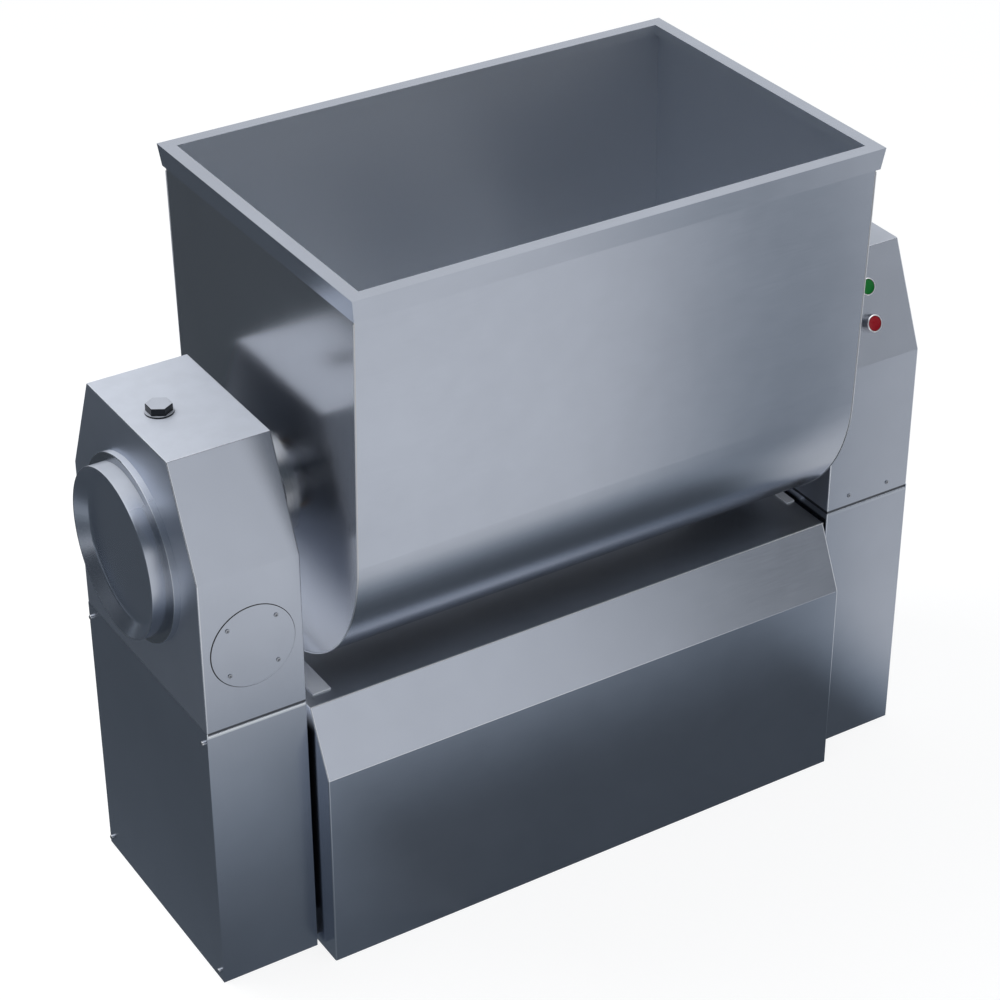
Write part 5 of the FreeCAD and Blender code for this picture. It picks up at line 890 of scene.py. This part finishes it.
def painted_floor_light(tree, x_way, y_way):
    """The painted glow the steel sees on the floor: painted shade by the machine, bright further out."""
    before_pillar = ramp(tree, y_way, start=-0.30, end=-1.44, low=0.15, high=0.93)
    before_base = ramp(tree, y_way, start=-0.50, end=-1.35, low=0.105, high=1.0)
    past_pillar = ramp(tree, x_way, start=-0.50, end=-0.25)
    front = total(tree, product(tree, before_base, past_pillar),
                  product(tree, before_pillar, flipped(tree, past_pillar)))
    right = ramp(tree, x_way, start=0.68, end=0.98)
    behind = product(tree, ramp(tree, y_way, start=0.5, end=2.2, high=0.85),
                     ramp(tree, x_way, start=-0.9, end=-0.1))
    far_left = ramp(tree, x_way, start=-3.2, end=-5.5, high=0.40)
    patch_x = combine(tree, "SUBTRACT", x_way, patch_place[0])
    patch_y = combine(tree, "SUBTRACT", y_way, patch_place[1])
    patch_square = total(tree, product(tree, patch_x, patch_x), product(tree, patch_y, patch_y))
    left_patch = ramp(tree, combine(tree, "SQRT", patch_square), start=0.50, end=0.15, high=0.65)
    left_light = either(tree, far_left, left_patch)
    light = either(tree, either(tree, front, right), either(tree, behind, left_light))
    left_corner = product(tree, ramp(tree, x_way, start=-0.6, end=-1.0, high=0.28),
                          ramp(tree, y_way, start=-0.9, end=-0.3))
    return product(tree, light, flipped(tree, product(tree, left_corner, flipped(tree, far_left))))


def painted_floor_band(tree, x_way, y_way):
    """A painted dark band in that glow, as a screen's foot: slanting, bent where it leaves the machine."""
    near_way = product(tree, combine(tree, "MAXIMUM", y_way, -slant_bend), near_slant)
    far_way = product(tree, combine(tree, "MINIMUM", total(tree, y_way, slant_bend), 0.0), far_slant)
    slant = total(tree, x_way, total(tree, near_way, far_way))
    screen = combine(tree, "SUBTRACT", ramp(tree, slant, start=-0.55, end=0.15, high=0.70),
                     ramp(tree, slant, start=0.22, end=0.56, high=0.50))
    return product(tree, screen, ramp(tree, y_way, start=0.1, end=-0.3))


bpy.ops.mesh.primitive_plane_add(size=floor_size, location=(0.0, 0.0, 0.0))
floor = bpy.context.object
floor.name = "studio_floor"
floor_finish = bpy.data.materials.new("studio_floor")
floor_finish.use_nodes = True
tree = floor_finish.node_tree
tree.nodes.clear()
surface_out = tree.nodes.new("ShaderNodeOutputMaterial")
paths = tree.nodes.new("ShaderNodeLightPath")
seen = tree.nodes.new("ShaderNodeEmission")
seen.inputs["Strength"].default_value = floor_brightness
paint = tree.nodes.new("ShaderNodeBsdfDiffuse")
paint.inputs["Color"].default_value = floor_paint
lit = tree.nodes.new("ShaderNodeAddShader")
tree.links.new(seen.outputs["Emission"], lit.inputs[0])
tree.links.new(paint.outputs["BSDF"], lit.inputs[1])
floor_place = on_piece(tree, "Object")
floor_x = along(tree, floor_place, "X")
floor_y = along(tree, floor_place, "Y")
open_floor = painted_floor_light(tree, floor_x, floor_y)
screened = product(tree, painted_floor_band(tree, floor_x, floor_y), product(tree, open_floor, open_floor))
# Glossy rays see the painted glow; the eye sees the lit pale floor.
painted_floor_reflection = mirrored_light(tree, "ShaderNodeEmission", combine(tree, "SUBTRACT", open_floor, screened))
steel_or_eye = tree.nodes.new("ShaderNodeMixShader")
tree.links.new(paths.outputs["Is Glossy Ray"], steel_or_eye.inputs["Fac"])
tree.links.new(lit.outputs["Shader"], steel_or_eye.inputs[1])
tree.links.new(painted_floor_reflection, steel_or_eye.inputs[2])
tree.links.new(steel_or_eye.outputs["Shader"], surface_out.inputs["Surface"])
floor.data.materials.append(floor_finish)


# Studio room.
# White all round for the eye, and as bright as paper for the steel, with the same dark
# screen standing to the front right and dim walls to the left and high in front.
room_tone = (0.93, 0.965, 1.0, 1.0)
room_strength = 0.55


def wall_light(tree, direction):
    """How bright the room's walls and ceiling lie in the steel."""
    x_way, y_way, z_way = [along(tree, direction, axis) for axis in ("X", "Y", "Z")]
    forward = combine(tree, "MAXIMUM", product(tree, y_way, -1.0), 0.05)
    bearing = combine(tree, "DIVIDE", x_way, forward)
    screen = combine(tree, "SUBTRACT", ramp(tree, bearing, start=0.535, end=0.635),
                     ramp(tree, bearing, start=0.675, end=0.76, high=0.86))
    screen = product(tree, screen, ramp(tree, y_way, start=-0.3, end=-0.5))
    dark_left = product(tree, ramp(tree, x_way, start=-0.20, end=-0.45, high=0.92),
                        ramp(tree, z_way, start=0.55, end=0.35))
    dark_high = product(tree, ramp(tree, z_way, start=0.33, end=0.50, high=0.78),
                        ramp(tree, z_way, start=0.95, end=0.78))
    dark_high = product(tree, dark_high, ramp(tree, y_way, start=-0.10, end=-0.40))
    overhead = ramp(tree, z_way, start=0.68, end=0.86, low=1.0, high=1.75)
    dim = product(tree, product(tree, flipped(tree, dark_left), flipped(tree, dark_high)), overhead)
    return product(tree, flipped(tree, screen), dim)


world = bpy.data.worlds.new("studio_room")
bpy.context.scene.world = world
world.use_nodes = True
tree = world.node_tree
tree.nodes.clear()
world_out = tree.nodes.new("ShaderNodeOutputWorld")
paths = tree.nodes.new("ShaderNodeLightPath")
room = tree.nodes.new("ShaderNodeBackground")
room.inputs["Color"].default_value = room_tone
room.inputs["Strength"].default_value = room_strength
backdrop = tree.nodes.new("ShaderNodeBackground")
backdrop.inputs["Color"].default_value = clear_white
backdrop.inputs["Strength"].default_value = 1.0
look = tree.nodes.new("ShaderNodeTexCoord")
room_glow = mirrored_light(tree, "ShaderNodeBackground", wall_light(tree, look.outputs["Generated"]))
see_steel = tree.nodes.new("ShaderNodeMixShader")
tree.links.new(paths.outputs["Is Glossy Ray"], see_steel.inputs["Fac"])
tree.links.new(room.outputs["Background"], see_steel.inputs[1])
tree.links.new(room_glow, see_steel.inputs[2])
direct = combine(tree, "MAXIMUM", paths.outputs["Is Camera Ray"], paths.outputs["Is Transmission Ray"])
see_white = tree.nodes.new("ShaderNodeMixShader")
tree.links.new(direct, see_white.inputs["Fac"])
tree.links.new(see_steel.outputs["Shader"], see_white.inputs[1])
tree.links.new(backdrop.outputs["Background"], see_white.inputs[2])
tree.links.new(see_white.outputs["Shader"], world_out.inputs["Surface"])


# Soft lamp.
# One large square lamp behind and above the machine, aimed at the left of the tub. The
# steel doesn't mirror it.
lamp_place = (-1.15, 0.9, 3.6)
lamp_aim = Vector((-0.4, 0.0, 0.9))
bpy.ops.object.light_add(type="AREA", location=lamp_place)
lamp = bpy.context.object
lamp.name = "top_softbox"
lamp.data.shape = "SQUARE"
lamp.data.size = 1.7
lamp.data.energy = 55.0
lamp.visible_glossy = False
lamp.rotation_euler = (lamp_aim - lamp.location).to_track_quat("-Z", "Y").to_euler()


# Camera.
# It stands in front of the left pillar, above the tub, and looks down into it.
camera_place = (-2.31731, -3.67139, 3.37441)
camera_turn = math.radians(-32.0036)
camera_drop = math.radians(32.1948)
camera_roll = math.radians(-0.0704)
bpy.ops.object.camera_add(location=camera_place)
camera = bpy.context.object
camera.matrix_world = (Matrix.Translation(camera_place) @ Matrix.Rotation(camera_turn, 4, "Z")
                       @ Matrix.Rotation(math.radians(90.0) - camera_drop, 4, "X")
                       @ Matrix.Rotation(camera_roll, 4, "Z"))
camera.data.lens = 100.27
camera.data.sensor_width = 36.0
bpy.context.scene.camera = camera
bpy.context.scene.view_settings.view_transform = "Standard"
